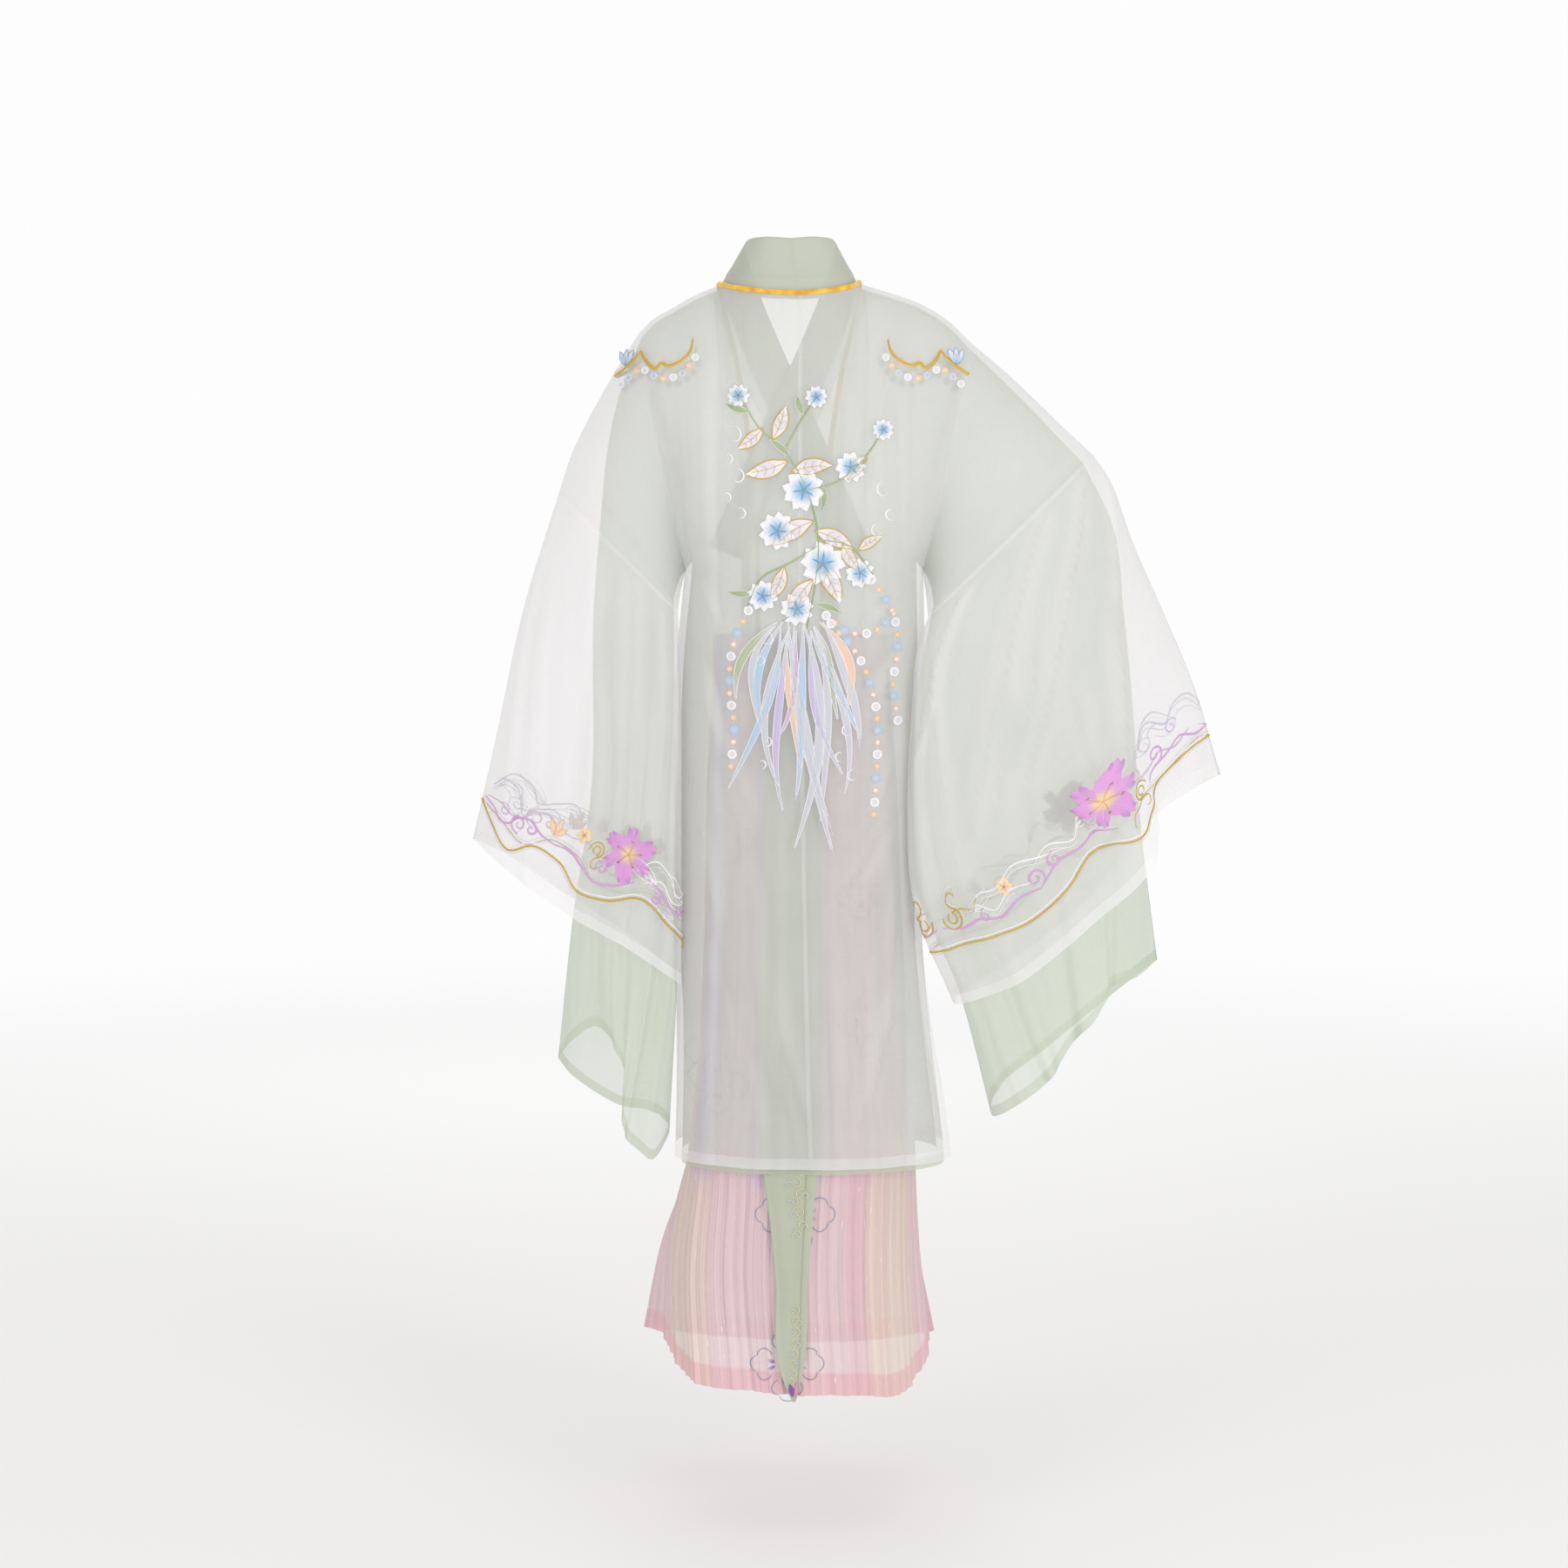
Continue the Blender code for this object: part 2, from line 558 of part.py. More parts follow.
def add_sleeve(sheets, name, columns, cuff, steps, fold_start):
    """Adds a wide sleeve from its seam to its cuff, its folds growing towards the cuff's wavy edge.

    Each ring runs from the top fold round to the low fold and back; what the cuff's loop departs from its own
    plain ring is added in, faded up the sleeve. The last ring but one is the hem's upper edge.
    """
    lows = spots(columns, "low_x low_y low_z")
    along = np.linspace(0, 1, steps + 1)
    along = np.insert(along, -1, 1 - HEM_WIDTH / np.linalg.norm(lows[-1] - lows[0]))
    at = {column: through(columns["along"], values, along) for column, values in columns.items()}
    tops, lows = spots(at, "top_x top_y top_z"), spots(at, "low_x low_y low_z")
    rings = [ring(*each, ROUND_RING) for each in zip(tops, lows, at["arm"], at["hang"])]
    wander = through(cuff["round"], spots(cuff, "x y z"), ROUND_RING) - rings[-1]
    shares = np.clip((along - fold_start) / (1 - fold_start), 0, 1) ** FOLD_FADE
    grid = np.stack([plain + wander * share for plain, share in zip(rings, shares)])
    walls = np.where(np.arange(len(along)) >= len(along) - 2, HEM_WALL, WALL)[:, None]
    sheets.add(name, grid, walls)


BINDING_WIDTH = 7 * MM
BINDING_LEAN = 0.55  # how far the binding leans to the neck for each unit it rises
BINDING_FRONT = 60 * MM  # in front of the neck by this depth it lies along the front edge


def binding_way(line, side):
    """Which way the binding stands from its edge: up and in round the neck, to the middle in front."""
    turn = np.clip(-line[:, 1] / BINDING_FRONT, 0, 1)[:, None]
    to_neck = -line * (1, 1, 0) / np.linalg.norm(line[:, :2], axis=1)[:, None] * BINDING_LEAN
    way = (to_neck + (0, 0, 1)) * (1 - turn) + np.array([-side, 0, 0]) * turn
    return way / np.linalg.norm(way, axis=1)[:, None]


outer = Sheets()
outer_ends = [
    add_body(
        outer, "outer_body_left", 1,
        (
            OUTER_NECK_LEFT, OUTER_SHOULDER_LEFT, OUTER_ARM_LEFT, OUTER_UNDERARM_LEFT, OUTER_BACK_SEAM,
            OUTER_FRONT_EDGE,
        ),
        OUTER_ARMHOLE, OUTER_SEAM, 0, 0, BODY["z"][-1], 0,
    ),
    add_body(
        outer, "outer_body_right", -1,
        (
            OUTER_NECK_RIGHT, OUTER_SHOULDER_RIGHT, OUTER_ARM_RIGHT, OUTER_UNDERARM_RIGHT, OUTER_BACK_SEAM,
            mirrored(OUTER_FRONT_EDGE, OUTER_NECK_RIGHT),
        ),
        OUTER_ARMHOLE, OUTER_SEAM, 0, 0, BODY["z"][-1], 0,
    ),
]
add_sleeve(outer, "outer_sleeve_left", OUTER_SLEEVE_LEFT, OUTER_CUFF_LEFT, OUTER_SLEEVE_STEPS, OUTER_FOLD_START)
add_sleeve(
    outer, "outer_sleeve_right", OUTER_SLEEVE_RIGHT, OUTER_CUFF_RIGHT, OUTER_SLEEVE_STEPS, OUTER_FOLD_START
)
for side, (edge_line, front_edge, neck_line) in zip((1, -1), outer_ends):
    line = np.concatenate([neck_line, edge_line[1:], front_edge[1:]])
    outer.add(
        "outer_neck_binding", np.stack([line, line + binding_way(line, side) * BINDING_WIDTH]), BINDING_WALL
    )

# The inner collar stands up behind the neck and goes on down both crossed fronts.
COLLAR_TOP = table(
    "share x y z",
    (0.00, 0, 54, 50), (0.10, 34, 47, 52), (0.20, 56, 14, 48), (0.34, 46, -34, 6), (0.52, 8, -88, -84),
    (0.70, -36, -112, -176), (0.86, -78, -116, -270), (1.00, -104, -108, -332),
)
COLLAR_STEPS = 3
THROAT_SHARE = 0.34  # where the collar's two ends begin to cross

inner = Sheets()
inner_ends = [
    add_body(
        inner, "inner_body_left", 1,
        (
            INNER_NECK_LEFT, INNER_SHOULDER_LEFT, INNER_ARM_LEFT, INNER_UNDERARM_LEFT, INNER_BACK_SEAM,
            INNER_FRONT_EDGE,
        ),
        INNER_ARMHOLE, INNER_SEAM, INNER_INSET, UNDERARM_RISE, INNER_HEM, 0,
    ),
    add_body(
        inner, "inner_body_right", -1,
        (
            INNER_NECK_RIGHT, INNER_SHOULDER_RIGHT, INNER_ARM_RIGHT, INNER_UNDERARM_RIGHT, INNER_BACK_SEAM,
            mirrored(INNER_FRONT_EDGE, INNER_NECK_RIGHT, CROSSED_INSET),
        ),
        INNER_ARMHOLE, INNER_SEAM, INNER_INSET, UNDERARM_RISE, INNER_HEM, CROSSED_INSET,
    ),
]
add_sleeve(inner, "inner_sleeve_left", INNER_SLEEVE_LEFT, INNER_CUFF_LEFT, INNER_SLEEVE_STEPS, INNER_FOLD_START)
add_sleeve(
    inner, "inner_sleeve_right", INNER_SLEEVE_RIGHT, INNER_CUFF_RIGHT, INNER_SLEEVE_STEPS, INNER_FOLD_START
)
for side, (edge_line, _, neck_line) in zip((1, -1), inner_ends):
    base = np.concatenate([neck_line, edge_line[1:]])
    share = np.linspace(0, 1, len(base))
    top = through(COLLAR_TOP["share"], spots(COLLAR_TOP, "x y z"), share) * (side, 1, 1)
    under = CROSSED_INSET if side < 0 else 0
    top[:, 1] += under * np.clip(share / THROAT_SHARE, 0, 1)
    rise = np.linspace(0, 1, COLLAR_STEPS + 1)[:, None, None]
    band = base[None] * (1 - rise) + top[None] * rise
    on_chest = np.clip((-band[..., 2] - 90 * MM) / (60 * MM), 0, 1)
    band[1:] = hanging_folds(laid(band, INNER_INSET + under, on_chest))[1:]
    inner.add("inner_collar", band, COLLAR_WALL)


# The skirt: twelve lengths of crinkled gauze sewn side by side, gathered in folds from waistband to hem.

SKIRT = table(
    "z centre_x back_half front_half back_y front_y depth",
    (-486, -13, 112, 112, 90, -96, 4.0),
    (-620, -14, 120, 122, 98, -106, 4.0),
    (-800, -16, 124, 130, 100, -109, 4.2),
    (-1000, -18, 129, 136, 105, -113, 4.6),
    (-1110, -20, 136, 142, 114.7, -119, 5.0),
    (-1250, -16, 160, 182, 131, -147, 6.0),
    (-1400, -12, 166, 196, 152, -172, 7.0),
)
SKIRT_HEM = table(
    "round x y z",
    (0.00, -14, 152, -1391), (0.08, 48, 150, -1386), (0.17, 118, 130, -1381), (0.25, 154, 58, -1367),
    (0.31, 168, -40, -1362), (0.38, 194, -125, -1374), (0.44, 112, -166, -1396), (0.50, -8, -174, -1406),
    (0.57, -120, -166, -1402), (0.63, -188, -130, -1382), (0.70, -184, -35, -1360), (0.77, -174, 52, -1378),
    (0.83, -148, 118, -1395), (0.92, -88, 148, -1392), (1.00, -14, 152, -1391),
)
HEM_SWAY = 0.7  # below 1 the hem's corners reach far up the skirt
SWAY_TOP = -1110 * MM
SKIRT_FOLDS = 64
SKIRT_STEPS = 6
# The fold lines where each length is sewn to the next, counted from the centre back round by the left side.
LENGTH_SEAMS = (0, 10, 22, 32, 42, 54, 64, 74, 86, 96, 106, 118, 128)
WAISTBAND_TOP = -445 * MM


def at_heights(columns, heights):
    return {
        name: heights[:, None] if name == "z" else through(-columns["z"], values, -heights)[:, None]
        for name, values in columns.items()
    }


def oval(rows, turn):
    """The skirt's plain section at a turn from the centre back: an oval, wider in front than behind."""
    half = rows["back_half"] + (rows["front_half"] - rows["back_half"]) * (1 - np.cos(turn)) / 2
    deep = np.where(np.cos(turn) > 0, rows["back_y"], -rows["front_y"])
    x = rows["centre_x"] + half * np.sin(turn)
    y = deep * np.cos(turn)
    return np.stack([x, y, np.broadcast_to(rows["z"], x.shape)], axis=-1)


def skirt_face(heights, turn):
    """The skirt without its folds: ovals that take on the hem's own line from below the hips down."""
    hem = through(SKIRT_HEM["round"], spots(SKIRT_HEM, "x y z"), turn / (2 * np.pi) % 1)
    share = np.clip((SWAY_TOP - heights) / (SWAY_TOP - SKIRT["z"][-1]), 0, 1)[:, None, None] ** HEM_SWAY
    plain_hem = oval(at_heights(SKIRT, SKIRT["z"][-1:]), turn)
    return oval(at_heights(SKIRT, heights), turn) + (hem - plain_hem) * share


def uneven(turn):
    """How the folds' size wanders round the waist, from about 0.6 to 1.4 of their mean."""
    return 1 + 0.25 * np.sin(5 * turn + 0.7) + 0.15 * np.sin(11 * turn + 2.0)


skirt_heights = np.linspace(SKIRT["z"][0], SKIRT["z"][-1], SKIRT_STEPS + 1)
folds_turn = np.linspace(0, 2 * np.pi, 2 * SKIRT_FOLDS + 1)
folds_turn += 0.008 * np.sin(9 * folds_turn)
valley = np.arange(len(folds_turn)) % 2 * uneven(folds_turn)
sunk = valley[None, :, None] * at_heights(SKIRT, skirt_heights)["depth"][..., None]
inwards = np.stack([-np.sin(folds_turn), -np.cos(folds_turn), 0 * folds_turn], axis=-1)[None]
skirt_grid = skirt_face(skirt_heights, folds_turn[None]) + sunk * inwards
skirt = Sheets()
for number, (start, end) in enumerate(zip(LENGTH_SEAMS, LENGTH_SEAMS[1:]), 1):
    skirt.add(f"skirt_length_{number}", skirt_grid[:, start : end + 1], SKIRT_WALL)

band_turn = np.linspace(0, 2 * np.pi, 49)
band_rows = at_heights(SKIRT, np.array([SKIRT["z"][0], SKIRT["z"][0]]))
band_rows["z"] = np.array([[WAISTBAND_TOP], [SKIRT["z"][0] + SEAM_GAP]])
waistband = Sheets()
waistband.add("skirt_waistband", oval(band_rows, band_turn[None]), COLLAR_WALL)

# The sash tail: a strip folded lengthwise, hanging down the centre back, just off the skirt's folds.

SASH = table(
    "z left_x right_x",
    (-450, 30, -34), (-700, 32, -34), (-1110, 33, -31), (-1250, 25, -22), (-1385, 16, -10), (-1406, 4, -2),
)
SASH_COLUMNS = 4
SASH_LIFT = 4 * SEAM_GAP + COLLAR_WALL / 2 + SASH_WALL / 2
sash_heights = np.concatenate([SASH["z"][:1], skirt_heights[:-1], SASH["z"][-2:]])
sash_edges = at_heights(SASH, sash_heights)
on_skirt = np.clip(sash_heights, SKIRT["z"][-1], SKIRT["z"][0])
sash_rows = at_heights(SKIRT, on_skirt)
sash_x = np.linspace(sash_edges["left_x"][:, 0], sash_edges["right_x"][:, 0], SASH_COLUMNS + 1, axis=1)
sash_turn = np.arcsin((sash_x - sash_rows["centre_x"]) / sash_rows["back_half"])
sash_grid = skirt_face(on_skirt, sash_turn)
sash_grid[..., 1] += SASH_LIFT
sash_grid[..., 2] += (sash_heights - on_skirt)[:, None]
sash = Sheets()
sash.add("sash_tail", sash_grid, SASH_WALL)

CHIFFON = material("white_chiffon", WHITE, 0.6)
MINT_CHIFFON = material("mint_chiffon", MINT, 0.6)
GAUZE = material("pink_gauze", PINK, 0.6)
FINISHES = {
    "outer_body": CHIFFON,
    "outer_sleeve": CHIFFON,
    "outer_neck": material("yellow_satin", GOLD_YELLOW, 0.35),
    "inner": MINT_CHIFFON,
    "skirt": GAUZE,
    "sash": material("green_sash", SASH_GREEN, 0.5),
}
# A point just behind the cloth and the way that leads off the body there.
BACK_OF_BODY = (np.array([0.03, 0.12, -0.5]), np.array([0.0, 1.0, 0.0]))
BACK_OF_SKIRT = (np.array([0.03, 0.12, -1.2]), np.array([0.0, 1.0, 0.0]))
for sheets, outward in (
    (outer, BACK_OF_BODY),
    (inner, BACK_OF_BODY),
    (skirt, BACK_OF_SKIRT),
    (waistband, BACK_OF_BODY),
    (sash, BACK_OF_SKIRT),
):
    for name, points, half, faces in sheets.pieces(outward):
        finish = next(each for start, each in FINISHES.items() if name.startswith(start))
        walled(name, points, half, faces, finish)
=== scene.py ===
"""A worn hanfu set: a sheer white outer robe, a mint inner robe, a crinkled pink skirt and a green sash tail.

Metres, +Z up, the front faces -Y and the wearer's left is +X. Tables are in millimetres.
"""

import bpy
import numpy as np
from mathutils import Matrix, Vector


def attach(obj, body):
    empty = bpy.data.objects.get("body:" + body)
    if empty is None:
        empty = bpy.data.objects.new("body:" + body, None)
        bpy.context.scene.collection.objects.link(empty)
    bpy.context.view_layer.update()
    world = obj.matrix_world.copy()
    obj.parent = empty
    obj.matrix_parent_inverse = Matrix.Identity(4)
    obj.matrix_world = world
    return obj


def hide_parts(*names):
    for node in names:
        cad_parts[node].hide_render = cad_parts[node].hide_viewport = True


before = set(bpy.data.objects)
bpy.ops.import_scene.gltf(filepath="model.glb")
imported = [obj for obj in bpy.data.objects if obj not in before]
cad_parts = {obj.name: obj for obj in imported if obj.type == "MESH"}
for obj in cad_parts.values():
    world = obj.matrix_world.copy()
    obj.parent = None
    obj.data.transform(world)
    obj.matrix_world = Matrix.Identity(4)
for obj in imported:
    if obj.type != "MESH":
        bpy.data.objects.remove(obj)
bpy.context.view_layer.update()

# The studio: a pale floor that fades into a white backdrop, soft light from all round, and the camera behind
# the wearer at the height of the shoulder blades, looking a little down.

CAMERA_PLACE = Vector((0.008, 4.0, -0.295))
CAMERA_AIM = Vector((0.008, 0, -0.635))
LENS_MM = 72.08
SENSOR_MM = 36
SKY_STRENGTH = 0.60
BACKDROP = (0.985, 0.985, 0.985)
FLOOR_Z = -1.57
FLOOR_HALF = 30
FLOOR_FADE = (0.5, 5.5)  # how far from the middle the floor starts and ends turning into the backdrop
PAPER = (0.60, 0.595, 0.59)
PAPER_GLOW = (0.30, 0.298, 0.294)
MIX_SHARE, MIX_FIRST, MIX_SECOND, MIX_RESULT = 0, 6, 7, 2  # the Mix node's sockets for colours


class Wire:
    """A value in a node tree, from a node's output; +, -, * and / on it each add a Math node."""

    def __init__(self, tree, socket):
        """The value that the socket puts out in the tree."""
        self.tree, self.socket = tree, socket

    def __add__(self, other):
        """The value plus another."""
        return maths("ADD", self, other)

    def __sub__(self, other):
        """The value less another."""
        return maths("SUBTRACT", self, other)

    def __rsub__(self, other):
        """A number less the value."""
        return maths("SUBTRACT", other, self)

    def __mul__(self, other):
        """The value times another."""
        return maths("MULTIPLY", self, other)

    def __truediv__(self, other):
        """The value divided by another."""
        return maths("DIVIDE", self, other)


def plug(node, inputs):
    """Gives a node's inputs their values, each a wire, a colour, a vector or a number."""
    for label, value in inputs.items():
        socket = node.inputs[label]
        if isinstance(value, Wire):
            value.tree.links.new(value.socket, socket)
        else:
            socket.default_value = (*value, 1) if socket.type == "RGBA" else value


def add_node(tree, kind, inputs, output=0, **settings):
    """A new shader node with its settings and inputs, as the wire from one of its outputs."""
    node = tree.nodes.new("ShaderNode" + kind)
    for name, value in settings.items():
        setattr(node, name, value)
    plug(node, inputs)
    return Wire(tree, node.outputs[output])


def maths(operation, first, second=None, clamp=False):
    """A Math node on one or two values, kept between 0 and 1 where clamp is set."""
    tree = first.tree if isinstance(first, Wire) else second.tree
    inputs = {0: first} if second is None else {0: first, 1: second}
    return add_node(tree, "Math", inputs, operation=operation, use_clamp=clamp)


def soft_step(value, low, high):
    """0 where the value is low and 1 where it is high, with a soft S between."""
    inputs = {"Value": value, "From Min": low, "From Max": high}
    return add_node(value.tree, "MapRange", inputs, interpolation_type="SMOOTHSTEP")


def mixed(share, first, second):
    """Two colours mixed: all first where the share is 0 and all second where it is 1."""
    inputs = {MIX_SHARE: share, MIX_FIRST: first, MIX_SECOND: second}
    return add_node(share.tree, "Mix", inputs, MIX_RESULT, data_type="RGBA")


def stretched(vector, factors):
    """A vector with its x, y and z each multiplied by a factor."""
    return add_node(vector.tree, "VectorMath", {0: vector, 1: factors}, operation="MULTIPLY")


def new_material(name):
    """A material, its node tree and its Principled shader."""
    material = bpy.data.materials.new(name)
    material.use_nodes = True
    return material, material.node_tree, material.node_tree.nodes["Principled BSDF"]


def in_scene(name, data):
    """An object put into the scene at the origin."""
    made = bpy.data.objects.new(name, data)
    bpy.context.scene.collection.objects.link(made)
    return made


def softbox(name, place, aim, size, power):
    """A square lamp of that size at a place, turned to face the point aimed at."""
    lamp = in_scene(name, bpy.data.lights.new(name, "AREA"))
    lamp.data.shape = "SQUARE"
    lamp.data.size = size
    lamp.data.energy = power
    lamp.location = place
    lamp.rotation_euler = (Vector(aim) - Vector(place)).to_track_quat("-Z", "Y").to_euler()


scene = bpy.context.scene
scene.view_settings.view_transform = "Standard"
scene.cycles.transparent_max_bounces = 40
scene.cycles.max_bounces = 8

camera = in_scene("camera", bpy.data.cameras.new("camera"))
camera.data.lens = LENS_MM
camera.data.sensor_width = SENSOR_MM
camera.location = CAMERA_PLACE
camera.rotation_euler = (CAMERA_AIM - CAMERA_PLACE).to_track_quat("-Z", "Y").to_euler()
scene.camera = camera

softbox("key", (-2.3, 2.9, 0.1), (0, 0, -0.9), 1.6, 46)
softbox("fill", (2.6, 2.6, 0.4), (0, 0, -0.7), 2.2, 30)
softbox("top", (-0.3, 0.2, 2.4), (0, 0, -0.6), 2.4, 14)
softbox("front", (0.4, -3.4, 0.6), (0, 0, -0.6), 2.4, 32)

world = bpy.data.worlds.new("studio")
scene.world = world
world.use_nodes = True
sky = world.node_tree
lit_sky = sky.nodes["Background"]
plug(lit_sky, {"Color": (1, 1, 1), "Strength": SKY_STRENGTH})
seen_sky = add_node(sky, "Background", {"Color": BACKDROP})
looked_at = add_node(sky, "LightPath", {}, "Is Camera Ray")
skies = add_node(sky, "MixShader", {0: looked_at, 1: Wire(sky, lit_sky.outputs[0]), 2: seen_sky})
plug(sky.nodes["World Output"], {"Surface": skies})

floor_mesh = bpy.data.meshes.new("floor")
corners = [(x * FLOOR_HALF, y * FLOOR_HALF, FLOOR_Z) for x, y in ((-1, -1), (1, -1), (1, 1), (-1, 1))]
floor_mesh.from_pydata(corners, [], [(0, 1, 2, 3)])
floor = in_scene("floor", floor_mesh)
paper, tree, shader = new_material("backdrop_paper")
on_floor = stretched(add_node(tree, "TexCoord", {}, "Object"), (1, 1, 0))
from_middle = add_node(tree, "VectorMath", {0: on_floor}, "Value", operation="LENGTH")
faded = soft_step(from_middle, *FLOOR_FADE)
plug(shader, {
    "Base Color": mixed(faded, PAPER, (0, 0, 0)), "Emission Color": mixed(faded, PAPER_GLOW, BACKDROP),
    "Emission Strength": 1.0, "Roughness": 0.85, "Specular IOR Level": 0.0,
})
floor_mesh.materials.append(paper)

# The outer robe: white chiffon, open in front, each half cut in one length with the top of its sleeve and
# joined to the other by a seam down the back; wide sleeves are sewn on, and every edge is turned in a band.
# Its panels are worked out as grids of points from the sizes of the worn robe and joined in one mesh a piece.

MM = 0.001
LEFT, RIGHT = 1, -1
SIDES = ((LEFT, "left"), (RIGHT, "right"))
FAR = 1.0  # a distance that means no hem or seam nearby
TINY = 1e-12  # added to a length before dividing by it, as it may be nothing
SMALL = 1e-9
PAST_LAST = 1.001  # a place in a table is kept this far short of its row count, between its last two rows
SLANT_REACH = 9  # how many points each way a crease is compared with
SLANT_GAIN = 2.2


def table(names, *rows):
    """Named columns from rows in millimetres. Columns called along, round or share are plain numbers."""
    columns = {}
    for name, values in zip(names.split(), np.array(rows, float).T):
        columns[name] = values if name in ("along", "round", "share") else values * MM
    return columns


def spots(columns, names="x y z"):
    """Points from the columns of those names."""
    return np.stack([columns[name] for name in names.split()], axis=-1)


def traced(*points):
    """The points of a line given in millimetres, in metres."""
    return np.array(points, float) * MM


def through(places, values, at):
    """A smooth curve through rows: cubic, its slope at each row the mean of the slopes on both sides."""
    places, values, at = (np.asarray(each, float) for each in (places, values, at))
    slopes = np.gradient(values, places, axis=0)
    step = np.clip(np.searchsorted(places, at, side="right") - 1, 0, len(places) - 2)
    width = places[step + 1] - places[step]
    t = np.clip((at - places[step]) / width, 0, 1)
    if values.ndim > 1:
        width, t = width[..., None], t[..., None]
    first, last = values[step], values[step + 1]
    return (
        first * (1 + 2 * t) * (1 - t) ** 2
        + slopes[step] * width * t * (1 - t) ** 2
        + last * t * t * (3 - 2 * t)
        - slopes[step + 1] * width * t * t * (1 - t)
    )


def smooth(low, high, value):
    """0 below low and 1 above high, with a soft S between: 3t^2 - 2t^3."""
    t = np.clip((value - low) / (high - low), 0, 1)
    return t * t * (3 - 2 * t)


def bell(off, width):
    """1 where off is nothing, falling away on both sides as e to the minus square of off over width."""
    return np.exp(-((off / width) ** 2))


def unit(ways, least=0.0):
    """Directions made one long: each divided by its own length plus least."""
    return ways / (np.linalg.norm(ways, axis=-1, keepdims=True) + least)


def measured(points):
    """The distance along a line from its first point to each."""
    return np.concatenate([[0], np.cumsum(np.linalg.norm(np.diff(points, axis=0), axis=1))])


def along_line(points, count):
    """Points evenly spaced along a smooth line through the given points."""
    places = measured(points)
    return through(places, points, np.linspace(0, places[-1], count + 1))


def patch(top, low, inner, outer, ease):
    """The surface filled in between four edges: the two blends of opposite edges, less the blend of the corners.

    Rows run from top to low and columns from inner to outer; ease says how far each row has gone in x, y and z.
    """
    across = np.linspace(0, 1, len(top))[None, :, None]
    down = ease[:, None, :]
    filled = top[None] * (1 - down) + low[None] * down
    filled = filled + inner[:, None] * (1 - across) + outer[:, None] * across
    corners = top[0] * (1 - across) * (1 - down) + top[-1] * across * (1 - down)
    return filled - corners - low[0] * (1 - across) * down - low[-1] * across * down


def ring(top, low, arm, hang, round_by):
    """Points round a sleeve: down as a cosine from its top fold to its low fold, and out as a sine in depth.

    It goes down the back face and up the front face. arm and hang are the half depths near the two folds.
    """
    down = ((1 - np.cos(2 * np.pi * round_by)) / 2)[:, None]
    points = top + (low - top) * down
    points[:, 1] += np.sin(2 * np.pi * round_by) * (arm * (1 - down) + hang * down)[:, 0]
    return points


def lengths(grid, axis):
    """For each point of a grid, its distance along the cloth from the grid's first row or column."""
    steps = np.linalg.norm(np.diff(grid, axis=axis), axis=-1)
    start = np.zeros_like(np.take(steps, [0], axis=axis))
    return np.concatenate([start, np.cumsum(steps, axis=axis)], axis=axis)


def normals(grid):
    """The cloth's unit normals at a grid's points, from its rows' and columns' directions, pointing outwards."""
    flat = unit(np.cross(np.gradient(grid, axis=1), np.gradient(grid, axis=0)), TINY)
    return flat * np.sign((flat * (grid - grid.mean(axis=1, keepdims=True))).sum())


def slants(grid):
    """How far the cloth leans out of its own lie, from 0 to 1: its normal against the mean of those round it."""
    own = normals(grid)
    padded = np.pad(own, ((SLANT_REACH, SLANT_REACH), (SLANT_REACH, SLANT_REACH), (0, 0)), "edge")
    sums = np.pad(padded.cumsum(0).cumsum(1), ((1, 0), (1, 0), (0, 0)))
    wide = 2 * SLANT_REACH + 1
    mean = sums[wide:, wide:] - sums[:-wide, wide:] - sums[wide:, :-wide] + sums[:-wide, :-wide]
    return np.clip(np.linalg.norm(own - unit(mean, SMALL), axis=-1) * SLANT_GAIN, 0, 1)


def squares(rows, columns, start):
    """The faces of a grid of points numbered row by row from start, each as four point numbers."""
    index = np.arange(rows * columns).reshape(rows, columns) + start
    return np.stack([index[:-1, :-1], index[1:, :-1], index[1:, 1:], index[:-1, 1:]], axis=-1).reshape(-1, 4)


def crossed(points, quads):
    """Each face's normal, as long as twice its area: its two diagonals crossed."""
    return np.cross(points[quads[:, 2]] - points[quads[:, 0]], points[quads[:, 3]] - points[quads[:, 1]])


def faced(grid, way):
    """The grid's faces, wound so that on the whole they look the given way, or out of its rings with no way given."""
    quads = squares(*grid.shape[:2], 0)
    points = grid.reshape(-1, 3)
    flat = crossed(points, quads)
    if way is None:
        middle = np.repeat(grid.mean(axis=1)[:-1], grid.shape[1] - 1, axis=0)
        facing = (flat * (points[quads].mean(axis=1) - middle)).sum()
    else:
        facing = (flat @ np.array(way, float)).sum()
    return quads if facing > 0 else quads[:, ::-1]


def add_piece(name, points, quads, uvs, values, finishes):
    """A piece of the set from its points and faces, with UV at the faces' corners and named values at the points."""
    mesh = bpy.data.meshes.new(name)
    mesh.from_pydata(points, [], quads)
    layer = mesh.uv_layers.new(name="threads")
    layer.data.foreach_set("uv", uvs.reshape(-1).astype(np.float32))
    for label, given in values.items():
        kind, field = ("FLOAT", "value") if given.ndim == 1 else ("FLOAT_COLOR", "color")
        kept = mesh.attributes.new(label, kind, "POINT")
        kept.data.foreach_set(field, given.reshape(-1).astype(np.float32))
    for finish in finishes:
        mesh.materials.append(finish)
    mesh.shade_smooth()
    piece = in_scene(name, mesh)
    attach(piece, "root")
    return piece


